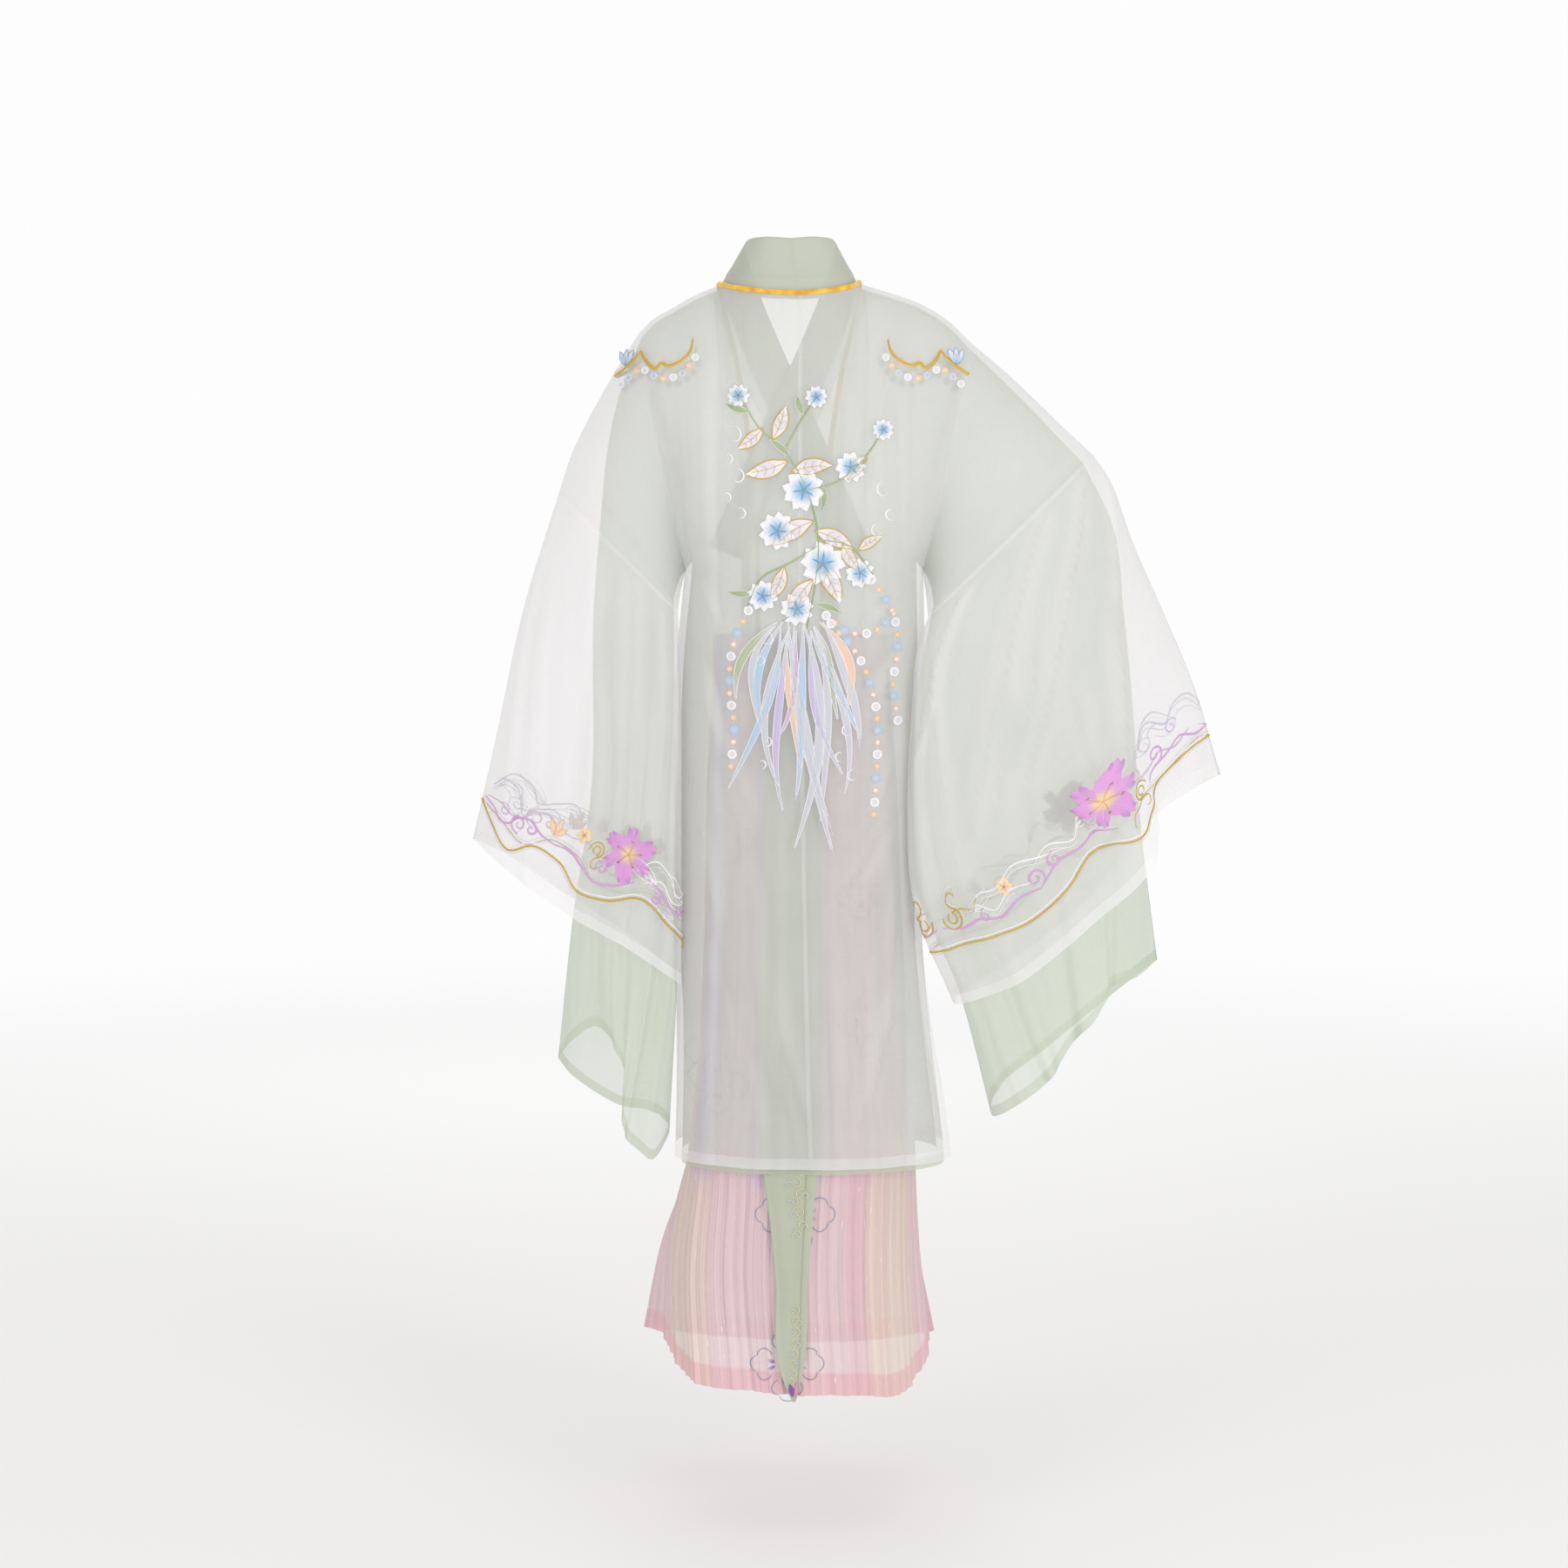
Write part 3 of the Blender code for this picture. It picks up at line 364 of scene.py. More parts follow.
def cloth(name, grids, finish, stands_for):
    """One sheet of cloth from grids that meet at their edges, as a mesh with lengths as UV.

    Each grid is its points, the way it faces (None for rings), its distances from a hem and from a seam, and
    its UV where that isn't plainly the lengths along its columns and rows.
    """
    points, quads, uvs, crease_shades = [], [], [], []
    start = 0
    for grid, way, _, _, *threads in grids:
        quads.append(faced(grid, way) + start)
        points.append(grid.reshape(-1, 3))
        plain = np.stack([lengths(grid, 1), lengths(grid, 0)], axis=-1)
        uvs.append((threads[0] if threads else plain).reshape(-1, 2))
        # Each point's slant, kept as fold, paints the creases' shade into the cloth's cover.
        crease_shades.append(slants(grid).reshape(-1))
        start += len(points[-1])
    hems, seams = ([np.broadcast_to(each[n], each[0].shape[:2]).reshape(-1) for each in grids] for n in (2, 3))
    points, quads, uvs = np.concatenate(points), np.concatenate(quads), np.concatenate(uvs)
    _, first, index = np.unique(np.round(points, 6), axis=0, return_index=True, return_inverse=True)
    joined = index.reshape(-1)[quads]
    values = {"hem": hems, "seam": seams, "fold": crease_shades}
    values = {label: np.concatenate(given)[first] for label, given in values.items()}
    piece = add_piece(name, points[first], joined, uvs[quads], values, [finish])
    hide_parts(stands_for)
    return piece


def dye(*colour):
    """A colour given from 0 to 255 as it looks, as the light it sends back: the screen curve undone."""
    share = np.array(colour, float) / 255
    return tuple(np.where(share <= 0.04045, share / 12.92, ((share + 0.055) / 1.055) ** 2.4).tolist())


def noise(vector, scale, detail=2.0):
    """A Noise Texture on a vector, from about 0.3 to 0.7."""
    return add_node(vector.tree, "TexNoise", {"Vector": vector, "Scale": scale, "Detail": detail})


def value_named(tree, label):
    """A value kept at the mesh's points under a name."""
    return add_node(tree, "Attribute", {}, "Fac", attribute_name=label)


def threads_of(tree):
    """The mesh's UV map called threads: metres along the weft and along the warp."""
    return add_node(tree, "UVMap", {}, uv_map="threads")


def effect(name, inputs, outputs):
    """An empty node group with named sockets: the group, a wire from each input, and its output node."""
    group = bpy.data.node_groups.new(name, "ShaderNodeTree")
    for way, sockets in (("INPUT", inputs), ("OUTPUT", outputs)):
        for label, kind in sockets.items():
            group.interface.new_socket(label, in_out=way, socket_type="NodeSocket" + kind)
    given = group.nodes.new("NodeGroupInput").outputs
    return group, {label: Wire(group, given[label]) for label in inputs}, group.nodes.new("NodeGroupOutput")


def placed(tree, group, inputs):
    """A group put into a tree with its inputs given, as a wire from each of its outputs."""
    node = tree.nodes.new("ShaderNodeGroup")
    node.node_tree = group
    plug(node, inputs)
    return {socket.name: Wire(tree, socket) for socket in node.outputs}


def raised(height, strength, distance, under=None):
    """The normal of a surface raised by a height, over another normal where one is given."""
    inputs = {"Strength": strength, "Distance": distance, "Height": height}
    return add_node(height.tree, "Bump", inputs if under is None else {**inputs, "Normal": under})


def scaled(colour, share):
    """A colour, all of it multiplied by a share."""
    return add_node(colour.tree, "VectorMath", {0: colour, "Scale": share}, operation="SCALE")


# Plain weave: warp and weft as two crossed waves, their brightness wandering along each thread.
WAVE_BANDS = 0.05  # a Wave Texture's scale for one band a metre
SLUB_SCALE = 300
SLUB_STRETCH = 0.04
weave, given, result = effect(
    "plain_weave", {"Threads": "Vector", "Threads Each Metre": "Float"}, {"Height": "Float", "Slub": "Float"}
)
wave_scale = given["Threads Each Metre"] * WAVE_BANDS
across, along = (
    add_node(weave, "TexWave", {"Vector": given["Threads"], "Scale": wave_scale}, "Fac", bands_direction=way)
    for way in "XY"
)
slub = noise(stretched(given["Threads"], (1, SLUB_STRETCH, 1)), SLUB_SCALE)
slub += noise(stretched(given["Threads"], (SLUB_STRETCH, 1, 1)), SLUB_SCALE)
plug(result, {"Height": maths("MAXIMUM", across, along), "Slub": slub})

# Sheer cloth: denser in its turned hem, on its seams and where its threads thicken, denser in its creases as painted
# crease shade, and softly crumpled.
CHIFFON_THREADS = 1200.0  # to a metre
HEM_EDGE = (0.0132, 0.0146)
SEAM_EDGE = (0.0016, 0.0036)
SEAM_SHARE = 0.55  # a seam is this much as dense as a hem
SLUB_SHARE = 0.12
CLOUD_SCALE = 7
MEAN_TONE = 0.62
CREASE_SHADE_COVER = 0.13  # what a crease adds to the cover: painted crease shade
CRUMPLE_SCALE = 16
CRUMPLE_STRETCH = (1, 1, 0.35)
sheer, given, result = effect(
    "sheer_cloth",
    {"Threads": "Vector", "Place": "Vector", "Hem": "Float", "Seam": "Float", "Cloth Colour": "Color",
     "Hem Colour": "Color", "Cover": "Float", "Hem Cover": "Float", "Wander": "Float", "Crease Shade": "Float"},
    {"Colour": "Color", "Hides": "Float", "Weave": "Float", "Crumple": "Float"},
)
woven = placed(sheer, weave, {"Threads": given["Threads"], "Threads Each Metre": CHIFFON_THREADS})
in_hem = 1.0 - soft_step(given["Hem"], *HEM_EDGE)
in_seam = 1.0 - soft_step(given["Seam"], *SEAM_EDGE)
dense = maths("MAXIMUM", in_hem, in_seam * SEAM_SHARE)
tone = woven["Slub"] * SLUB_SHARE + noise(given["Place"], CLOUD_SCALE, 3) - MEAN_TONE
tint = tone * given["Wander"]
# A crease adds to the cover: painted crease shade, with the denser look of slanted cloth.
cover = dense * (given["Hem Cover"] - given["Cover"]) + given["Cover"] + given["Crease Shade"] * CREASE_SHADE_COVER
plug(result, {
    "Colour": scaled(mixed(dense, given["Cloth Colour"], given["Hem Colour"]), tint + 1.0),
    "Hides": maths("ADD", cover, tint, clamp=True),
    "Weave": woven["Height"],
    "Crumple": noise(stretched(given["Place"], CRUMPLE_STRETCH), CRUMPLE_SCALE, 2),
})

LIGHT_SPREAD = 0.38  # the share of the light met by a sheer thread that goes on through
CRUMPLE_RELIEF = (0.8, 0.005)
WEAVE_RELIEF = (0.15, 0.0002)


def sheer_finish(name, colour, hem_colour, cover, hem_cover, roughness, wander=0.10, sheen=0.12):
    """Sheer cloth of a colour; cover is how much of what lies behind it hides."""
    finish, tree, shader = new_material(name)
    worked = placed(tree, sheer, {
        "Threads": threads_of(tree), "Place": add_node(tree, "TexCoord", {}, "Object"),
        "Hem": value_named(tree, "hem"), "Seam": value_named(tree, "seam"), "Crease Shade": value_named(tree, "fold"),
        "Cloth Colour": colour, "Hem Colour": hem_colour, "Cover": cover, "Hem Cover": hem_cover, "Wander": wander,
    })
    lit_through = 1.0 - add_node(tree, "LightPath", {}, "Is Shadow Ray") * LIGHT_SPREAD
    crumpled = raised(worked["Crumple"], *CRUMPLE_RELIEF)
    plug(shader, {
        "Base Color": worked["Colour"], "Alpha": worked["Hides"] * lit_through, "Roughness": roughness,
        "Normal": raised(worked["Weave"], *WEAVE_RELIEF, crumpled), "Specular IOR Level": 0.2,
        "Sheen Weight": sheen, "Sheen Roughness": 0.5,
    })
    return finish


white_chiffon = sheer_finish("white_chiffon_cloth", dye(230, 227, 228), dye(236, 233, 234), 0.37, 0.52, 0.55)

# Each half's neck, shoulder, top of the arm and underarm, from the body outwards.
OUTER_LINES = {
    LEFT: (
        traced((-12, 77, -21), (30, 72, -19), (64, 54, -14), (93, 4, -5)),
        traced((93, 4, -5), (122, 0, -17), (149, -3, -32), (174, -5, -46), (192, -5, -64)),
        traced((192, -5, -64), (228, -4, -122), (255, -2, -170), (277, 0, -215), (293, 0, -263)),
        traced((133, 0, -362), (138, 26, -385), (141, 56, -412)),
    ),
    RIGHT: (
        traced((-12, 77, -21), (-46, 70, -18), (-74, 50, -12), (-90, 4, -3)),
        traced((-90, 4, -3), (-128, 0, -14), (-165, -3, -27), (-200, -5, -48), (-228, -5, -75)),
        traced((-228, -5, -75), (-271, -5, -111), (-313, -3, -150), (-352, 0, -188), (-383, 0, -216)),
        traced((-168, 0, -362), (-171, 28, -389), (-173, 58, -420)),
    ),
}
# The cut's back seam and left front edge, the half depths of its armhole and of its sleeve's seam, and its hem.
OUTER_CUT = {
    "seam": traced((-12, 77, -21), (-12, 90, -62), (-12, 107, -130), (-12, 118, -215), (-12, 122, -362)),
    "edge": traced(
        (93, 4, -5), (88, -48, -32), (72, -96, -100), (58, -122, -190), (49, -132, -280), (46, -134, -362)
    ),
    "armhole": (96 * MM, 54 * MM),
    "sleeve_seam": (70 * MM, 36 * MM),
    "hem_z": -1108 * MM,
}
BODY = table(
    "z seam_x back_y front_y left_x right_x back_side_y left_front_x right_front_x front_side_y",
    (-362, -12, 122, -134, 134, -169, 0, 134, -169, 0),
    (-480, -13, 119, -138, 145, -171, 0, 145, -171, 0),
    (-620, -15, 117, -140, 149, -168, 0, 149, -168, 0),
    (-760, -17, 118, -141, 150, -168, 0, 150, -168, 0),
    (-860, -19, 120, -142, 149, -171, 0, 149, -171, 0),
    (-950, -21, 123, -144, 146, -182, 14, 146, -180, -22),
    (-1030, -23, 127, -147, 146, -196, 20, 147, -190, -34),
    (-1108, -26, 131, -150, 148, -206, 26, 149, -200, -42),
)
SLIT_TOP = -860 * MM
FLATTEN = 0.85  # below 1 the body's section is flatter than an ellipse
NECK_STEPS = 18
SHOULDER_STEPS = 30
STUB_STEPS = 22
FACE_STEPS = 72
BODY_STEPS = 88
EVEN = np.linspace(0, 1, FACE_STEPS + 1)
ARCHED = (1 - np.cos(np.pi * EVEN)) / 2
DEPTH_GROWTH = 0.8  # below 1 the depth grows fast below the shoulder
ROUNDED = np.sin(np.pi * EVEN / 2) ** DEPTH_GROWTH
ROUND_RING = np.linspace(0, 1, 2 * FACE_STEPS + 1)

# The throat, where no cloth lies: it only closes the shape of the chest that the fronts are laid on.
THROATS = {
    LEFT: traced((-12, -64, -72), (30, -56, -56), (68, -34, -26), (93, 4, -5)),
    RIGHT: traced((-12, -64, -72), (-42, -56, -54), (-72, -34, -24), (-90, 4, -3)),
}
BREASTBONE = traced((-12, -64, -72), (-12, -98, -124), (-12, -122, -200), (-12, -132, -290), (-12, -134, -362))

# Creases of the body as soft ridges: where each lies high up and low down, its width, depth and reach.
BODY_FOLDS = table(
    "top_x low_x width depth high low",
    (112, 100, 22, 7, -60, -900), (60, 76, 18, 5, -90, -620), (-112, -124, 22, 7, -60, -760),
    (-62, -60, 18, 5, -70, -560), (-40, -60, 20, 5, -760, -1200), (50, 44, 20, 6, -700, -1200),
    (-112, -108, 18, 5, -800, -1200), (92, 84, 7, -2.2, -150, -700), (128, 118, 6, 2, -120, -420),
    (40, 54, 8, 1.6, -130, -480), (-88, -92, 7, -2, -150, -640), (-132, -140, 6, 1.8, -110, -480),
    (-30, -36, 9, 1.4, -160, -520), (20, 12, 9, 2, -620, -1200), (88, 96, 8, -2.4, -760, -1200),
    (-80, -86, 8, 2.2, -720, -1200), (-138, -146, 7, -2, -780, -1200), (-176, -40, 11, 5, -350, -500),
    (-172, -60, 12, -4.5, -385, -560), (-170, -30, 13, 5, -430, -640), (-165, -70, 14, 4, -520, -760),
    (-160, -20, 16, -4, -600, -860), (130, 40, 10, 4.5, -350, -520), (128, 60, 12, -4, -400, -600),
    (132, 30, 14, 4.5, -470, -720), (126, 80, 12, 4, -620, -900), (110, 20, 16, -4.5, -760, -1060),
    (-150, -70, 14, 4.5, -840, -1120), (30, -40, 15, 4, -860, -1140), (-148, -151, 9, -4.5, -440, -960),
    (124, 129, 9, -4.5, -410, -840), (-136, -128, 12, 4, -700, -1060),
)
FRONT_FOLDS = 0.35  # the front's folds are this much of the back's
FOLD_TOP_FADE = 90 * MM
FOLD_LOW_FADE = 130 * MM
SIDE_FADE = 40 * MM  # nearer to the sides than this depth the folds shrink
STUB_FADE = 0.8  # the share of the cut-on sleeve top by which they have gone
SETTLE_TOP, SETTLE_LOW, SETTLE_SIDE = 0.12, 0.06, 0.08  # the shares in which a front's edges come onto the chest


def body_rows(inset, rise, hem_z):
    """The body's sizes at even heights, drawn in all round by inset, with one row exactly at the slits' top."""
    heights = np.linspace(BODY["z"][0] + rise, hem_z, BODY_STEPS + 1)
    heights[np.argmin(np.abs(heights - SLIT_TOP))] = SLIT_TOP
    at = np.clip(-heights, -BODY["z"][0], -BODY["z"][-1])
    rows = {name: through(-BODY["z"], values, at) for name, values in BODY.items()}
    rows["z"] = heights
    for name in ("back_y", "left_x", "left_front_x"):
        rows[name] = rows[name] - inset
    for name in ("front_y", "right_x", "right_front_x"):
        rows[name] = rows[name] + inset
    return rows


def panel(rows, left_x, right_x, side_y, deep_y, side, first_x, steps):
    """One panel of the body: flattened half ovals from first_x round to the side, one for each row.

    x goes as a sine and y as a cosine to the power FLATTEN, with its own half width on each side of the seam.
    """
    seam_x = rows["seam_x"][:, None]
    own = (left_x if side > 0 else right_x)[:, None] - seam_x
    other = (right_x if side > 0 else left_x)[:, None] - seam_x
    begins = first_x[:, None] - seam_x
    begins = np.where(begins * side < 0, -begins / other, begins / own)
    start = np.arcsin(np.clip(begins, -1, 1))
    turn = start + (np.pi / 2 - start) * np.linspace(0, 1, steps + 1)
    x = seam_x + np.where(turn < 0, -other, own) * np.sin(turn)
    y = side_y[:, None] + (deep_y - side_y)[:, None] * np.cos(turn).clip(0) ** FLATTEN
    return np.stack([x, y, np.broadcast_to(rows["z"][:, None], x.shape)], axis=-1)


def hanging_folds(points):
    """Adds the body's creases: each a bell curve across, moved out in depth and faded at both its ends."""
    x, y, z = points[..., 0], points[..., 1], points[..., 2]
    moved = points.copy()
    behind = np.where(y > 0, 1, -FRONT_FOLDS) * np.clip(np.abs(y) / SIDE_FADE, 0, 1)
    for top_x, low_x, width, depth, high, low in zip(*BODY_FOLDS.values()):
        centre = top_x + (low_x - top_x) * np.clip((z - high) / (low - high), 0, 1)
        fades = smooth(0, FOLD_TOP_FADE, high - z) * smooth(0, FOLD_LOW_FADE, z - low)
        moved[..., 1] += behind * depth * fades * bell(x - centre, width)
    return moved


def halves(loop):
    """A ring's back and front, each from the top fold to the low fold."""
    return loop[: FACE_STEPS + 1], loop[::-1][: FACE_STEPS + 1]


def upper_panel(top, low, inner, outer):
    """Cloth from the neck and shoulder down to the arms' depth, its depth growing fast below the shoulder."""
    return patch(top, low, inner, outer, np.stack([EVEN, ROUNDED, EVEN], axis=1))


def depth_map(columns, heights, widths):
    """A table of y at even heights and widths, from lines that run down the surface side by side.

    Each line gives its x and y at every height, and each height its y at every x.
    """
    at_height = np.array([
        [np.interp(-heights, -column[:, 2], column[:, axis]) for axis in (0, 1)] for column in columns
    ])
    across, deep = at_height.transpose(1, 2, 0)
    across = np.maximum.accumulate(across + np.arange(across.shape[1]) * SMALL, axis=1)
    return np.array([np.interp(widths, *level) for level in zip(across, deep)])


def read_map(depths, heights, widths, x, z):
    """The map's y at any x and z: the mean of its four nearest values, each weighted by nearness."""
    place_z = np.clip((heights[0] - z) / (heights[0] - heights[1]), 0, len(heights) - PAST_LAST)
    place_x = np.clip((x - widths[0]) / (widths[1] - widths[0]), 0, len(widths) - PAST_LAST)
    row, column = place_z.astype(int), place_x.astype(int)
    down, on = place_z - row, place_x - column
    high = depths[row, column] * (1 - on) + depths[row, column + 1] * on
    low = depths[row + 1, column] * (1 - on) + depths[row + 1, column + 1] * on
    return high * (1 - down) + low * down


CHEST_Z = np.linspace(-4 * MM, BODY["z"][0], 120)
CHEST_X = np.linspace(-235 * MM, 200 * MM, 150)
chest_lines = []
chest_rows = body_rows(0, 0, BODY["z"][-1])
for side in (RIGHT, LEFT):
    _, shoulder, _, underarm = OUTER_LINES[side]
    chest_low = panel(
        chest_rows, chest_rows["left_x"], chest_rows["right_x"], 0 * chest_rows["z"], chest_rows["front_y"],
        side, chest_rows["seam_x"], NECK_STEPS + SHOULDER_STEPS,
    )[0]
    chest_top = np.concatenate([along_line(THROATS[side], NECK_STEPS), along_line(shoulder, SHOULDER_STEPS)[1:]])
    chest_hole = halves(ring(shoulder[-1], underarm[0], *OUTER_CUT["armhole"], ROUND_RING))[1]
    chest_grid = upper_panel(chest_top, chest_low, along_line(BREASTBONE, FACE_STEPS), chest_hole)
    chest_grid = chest_grid.transpose(1, 0, 2)
    chest_lines.extend(chest_grid[::-1] if side < 0 else chest_grid[1:])
CHEST = depth_map(chest_lines, CHEST_Z, CHEST_X)


def laid(points, layer, share=1.0):
    """Points moved in depth onto the chest, layer inside it, or only a share of the way there."""
    moved = points.copy()
    depth = read_map(CHEST, CHEST_Z, CHEST_X, points[..., 0], points[..., 2])
    moved[..., 1] += (depth + layer - moved[..., 1]) * share
    return moved


def body_half(side, lines, under, seam, edge, armhole, sleeve_seam, hem_z, inset=0, rise=0):
    """One half of a robe's body: its grids, its front edge above and below the arms' depth, and its neck line.

    under is how far its front lies in under the other half's. The left edge turned over makes the right one.
    """
    neck, shoulder, arm, underarm = lines
    if side == RIGHT:
        edge = edge * (-1, 1, 1) + (0, under, 0)
        edge[0] = neck[-1]
    rows = body_rows(inset, rise, hem_z)
    back = panel(
        rows, rows["left_x"], rows["right_x"], rows["back_side_y"], rows["back_y"], side, rows["seam_x"],
        NECK_STEPS + SHOULDER_STEPS,
    )
    front = panel(
        rows, rows["left_front_x"], rows["right_front_x"], rows["front_side_y"], rows["front_y"] + under,
        side, np.full(len(rows["z"]), edge[-1, 0]), SHOULDER_STEPS,
    )
    front[0] = (front[0] + laid(front[0], inset + under)) / 2
    back[0, -1] = front[0, -1] = underarm[0]
    closed = rows["z"] >= SLIT_TOP - 0.1 * MM
    front[closed, -1] = back[closed, -1]

    hole_back, hole_front = halves(ring(shoulder[-1], underarm[0], *armhole, ROUND_RING))
    top_front = along_line(shoulder, SHOULDER_STEPS)
    top_back = np.concatenate([along_line(neck, NECK_STEPS), top_front[1:]])
    seam_line = along_line(np.concatenate([seam[:-1], back[:1, 0]]), FACE_STEPS)
    edge_line = along_line(np.concatenate([edge[:-1], front[:1, 0]]), FACE_STEPS)
    upper_front = upper_panel(top_front, front[0], edge_line, hole_front)
    across = np.linspace(0, 1, SHOULDER_STEPS + 1)[None]
    settle = (smooth(0, SETTLE_TOP, EVEN) * smooth(0, SETTLE_LOW, 1 - EVEN))[:, None]
    settle = settle * smooth(0, SETTLE_SIDE, 1 - across)
    upper_front = laid(upper_front, inset + under, settle)
    edge_line = upper_front[:, 0]
    upper_back = upper_panel(top_back, back[0], seam_line, hole_back)

    from_hem = rows["z"][:, None] - rows["z"][-1]
    above_slit = (rows["z"] - SLIT_TOP).clip(0)[:, None]
    back_run, front_run = lengths(back, 1), lengths(front, 1)
    back_hem = np.minimum(from_hem, above_slit + back_run[:, -1:] - back_run)
    front_hem = np.minimum(np.minimum(from_hem, above_slit + front_run[:, -1:] - front_run), front_run)
    grids = [
        (hanging_folds(upper_back), (0, 1, 0), FAR, lengths(upper_back, 1)),
        (hanging_folds(upper_front), (0, -1, 0), lengths(upper_front, 1), FAR),
        (hanging_folds(back), (0, 1, 0), back_hem, back_run),
        (hanging_folds(front), (0, -1, 0), front_hem, FAR),
    ]
    arched = np.stack([ARCHED] * 3, axis=1)
    fade = 1 - smooth(0, STUB_FADE, np.linspace(0, 1, STUB_STEPS + 1))[None, :, None]
    ends = halves(ring(arm[-1], underarm[-1], *sleeve_seam, ROUND_RING))
    for start, end, way in zip((hole_back, hole_front), ends, (1, -1)):
        grid = patch(along_line(arm, STUB_STEPS), along_line(underarm, STUB_STEPS), start, end, arched)
        grid = grid + (hanging_folds(grid) - grid) * fade
        run = lengths(grid, 1)
        grids.append((grid, (0, way, 0), FAR, run[:, -1:] - run))
    return grids, hanging_folds(edge_line), hanging_folds(front[:, 0]), hanging_folds(upper_back[0])[: NECK_STEPS + 1]


outer_halves = {side: body_half(side, OUTER_LINES[side], 0, **OUTER_CUT) for side, _ in SIDES}
outer_body_left, outer_body_right = (
    cloth(f"outer_{word}_half", outer_halves[side][0], white_chiffon, f"outer_body_{word}")
    for side, word in SIDES
)

SLEEVE_COLUMNS = "along top_x top_y top_z low_x low_y low_z arm hang"
CUFF_COLUMNS = "round x y z"
FOLD_FADE = 1.6
SLEEVE_STEPS = 96
CREASE_FADE = (-0.12, 0.15)
TOP_FADE = 0.06  # the share of the sleeve in which its creases start
OUTER_FOLD_START = 0.12  # the share of the sleeve above which the cuff's folds have died away
OUTER_SLEEVES = {
    LEFT: table(
        SLEEVE_COLUMNS,
        (0, 293, 0, -263, 141, 56, -412, 70, 36),
        (0.3, 338, 0, -405, 137, 60, -540, 70, 30),
        (0.65, 376, -3, -575, 137, 62, -710, 68, 28),
        (1, 407, -8, -706, 138, 60, -884, 62, 28),
    ),
    RIGHT: table(
        SLEEVE_COLUMNS,
        (0, -383, 0, -216, -173, 58, -420, 70, 36),
        (0.1, -404, 0, -246, -160, 66, -455, 72, 34),
        (0.3, -437, -5, -330, -151, 74, -550, 74, 30),
        (0.5, -476, -25, -412, -147, 76, -655, 72, 28),
        (0.72, -518, -45, -505, -155, 72, -775, 68, 28),
        (1, -561, -80, -629, -209, 52, -911, 60, 28),
    ),
}
OUTER_CUFFS = {
    LEFT: table(
        CUFF_COLUMNS,
        (0, 407, -8, -706), (0.1, 372, 34, -732), (0.24, 290, 70, -788), (0.4, 190, 80, -846),
        (0.5, 138, 60, -884), (0.56, 146, 40, -872), (0.68, 210, 6, -826), (0.84, 300, -30, -774),
        (0.94, 372, -36, -726), (1, 407, -8, -706),
    ),
    RIGHT: table(
        CUFF_COLUMNS,
        (0, -561, -80, -629), (0.042, -528, -62, -636), (0.083, -498, -36, -648), (0.125, -474, -8, -664),
        (0.167, -467, 24, -690), (0.208, -465, 50, -718), (0.25, -455, 66, -742), (0.333, -377, 76, -809),
        (0.417, -293, 74, -878), (0.5, -209, 52, -911), (0.56, -222, 28, -898), (0.66, -296, -6, -856),
        (0.78, -400, -54, -776), (0.87, -470, -88, -690), (0.94, -528, -98, -650), (1, -561, -80, -629),
    ),
}
# Each crease: where it starts and ends, as shares round and along the sleeve, its half width and its height in mm.
OUTER_CREASES = {
    LEFT: (
        (0.3, 0, 0.34, 0.75, 0.02, 5), (0.4, 0.05, 0.42, 1.02, 0.018, 4),
        (0.2, 0.02, 0.26, 0.62, 0.022, 4.6), (0.12, 0.25, 0.18, 1.1, 0.02, 4.4),
        (0.365, 0.35, 0.37, 1.1, 0.016, -4), (0.45, 0.1, 0.46, 1.1, 0.014, 3.2),
        (0.27, 0.45, 0.28, 1.2, 0.02, 4.6), (0.05, 0, 0.1, 0.85, 0.018, 3.4),
        (0.24, 0.2, 0.23, 0.95, 0.015, -3.2), (0.62, 0, 0.66, 0.8, 0.022, 4.4),
        (0.74, 0.1, 0.8, 1.1, 0.024, 4.6), (0.88, 0.2, 0.86, 1.1, 0.02, 4),
        (0.56, 0.05, 0.58, 0.9, 0.016, 3.6),
    ),
    RIGHT: (
        (0.1, 0, 0.3, 0.62, 0.018, 5.4), (0.18, -0.05, 0.38, 0.64, 0.02, 5),
        (0.05, 0.1, 0.2, 0.85, 0.016, 4.4), (0.28, 0.3, 0.36, 1.1, 0.02, 5),
        (0.4, 0.1, 0.43, 1.1, 0.016, 4.2), (0.22, 0.5, 0.27, 1.1, 0.018, -4.8),
        (0.33, 0, 0.46, 0.42, 0.015, 4), (0.46, 0.3, 0.47, 1.1, 0.013, 3.2),
        (0.14, 0.42, 0.17, 1.05, 0.016, 4), (0.6, 0, 0.66, 0.8, 0.02, 4.6),
        (0.72, 0.1, 0.78, 1.1, 0.022, 4.6), (0.86, 0.15, 0.84, 1.1, 0.02, 4.4),
        (0.54, 0.05, 0.56, 0.9, 0.015, 3.8),
    ),
}


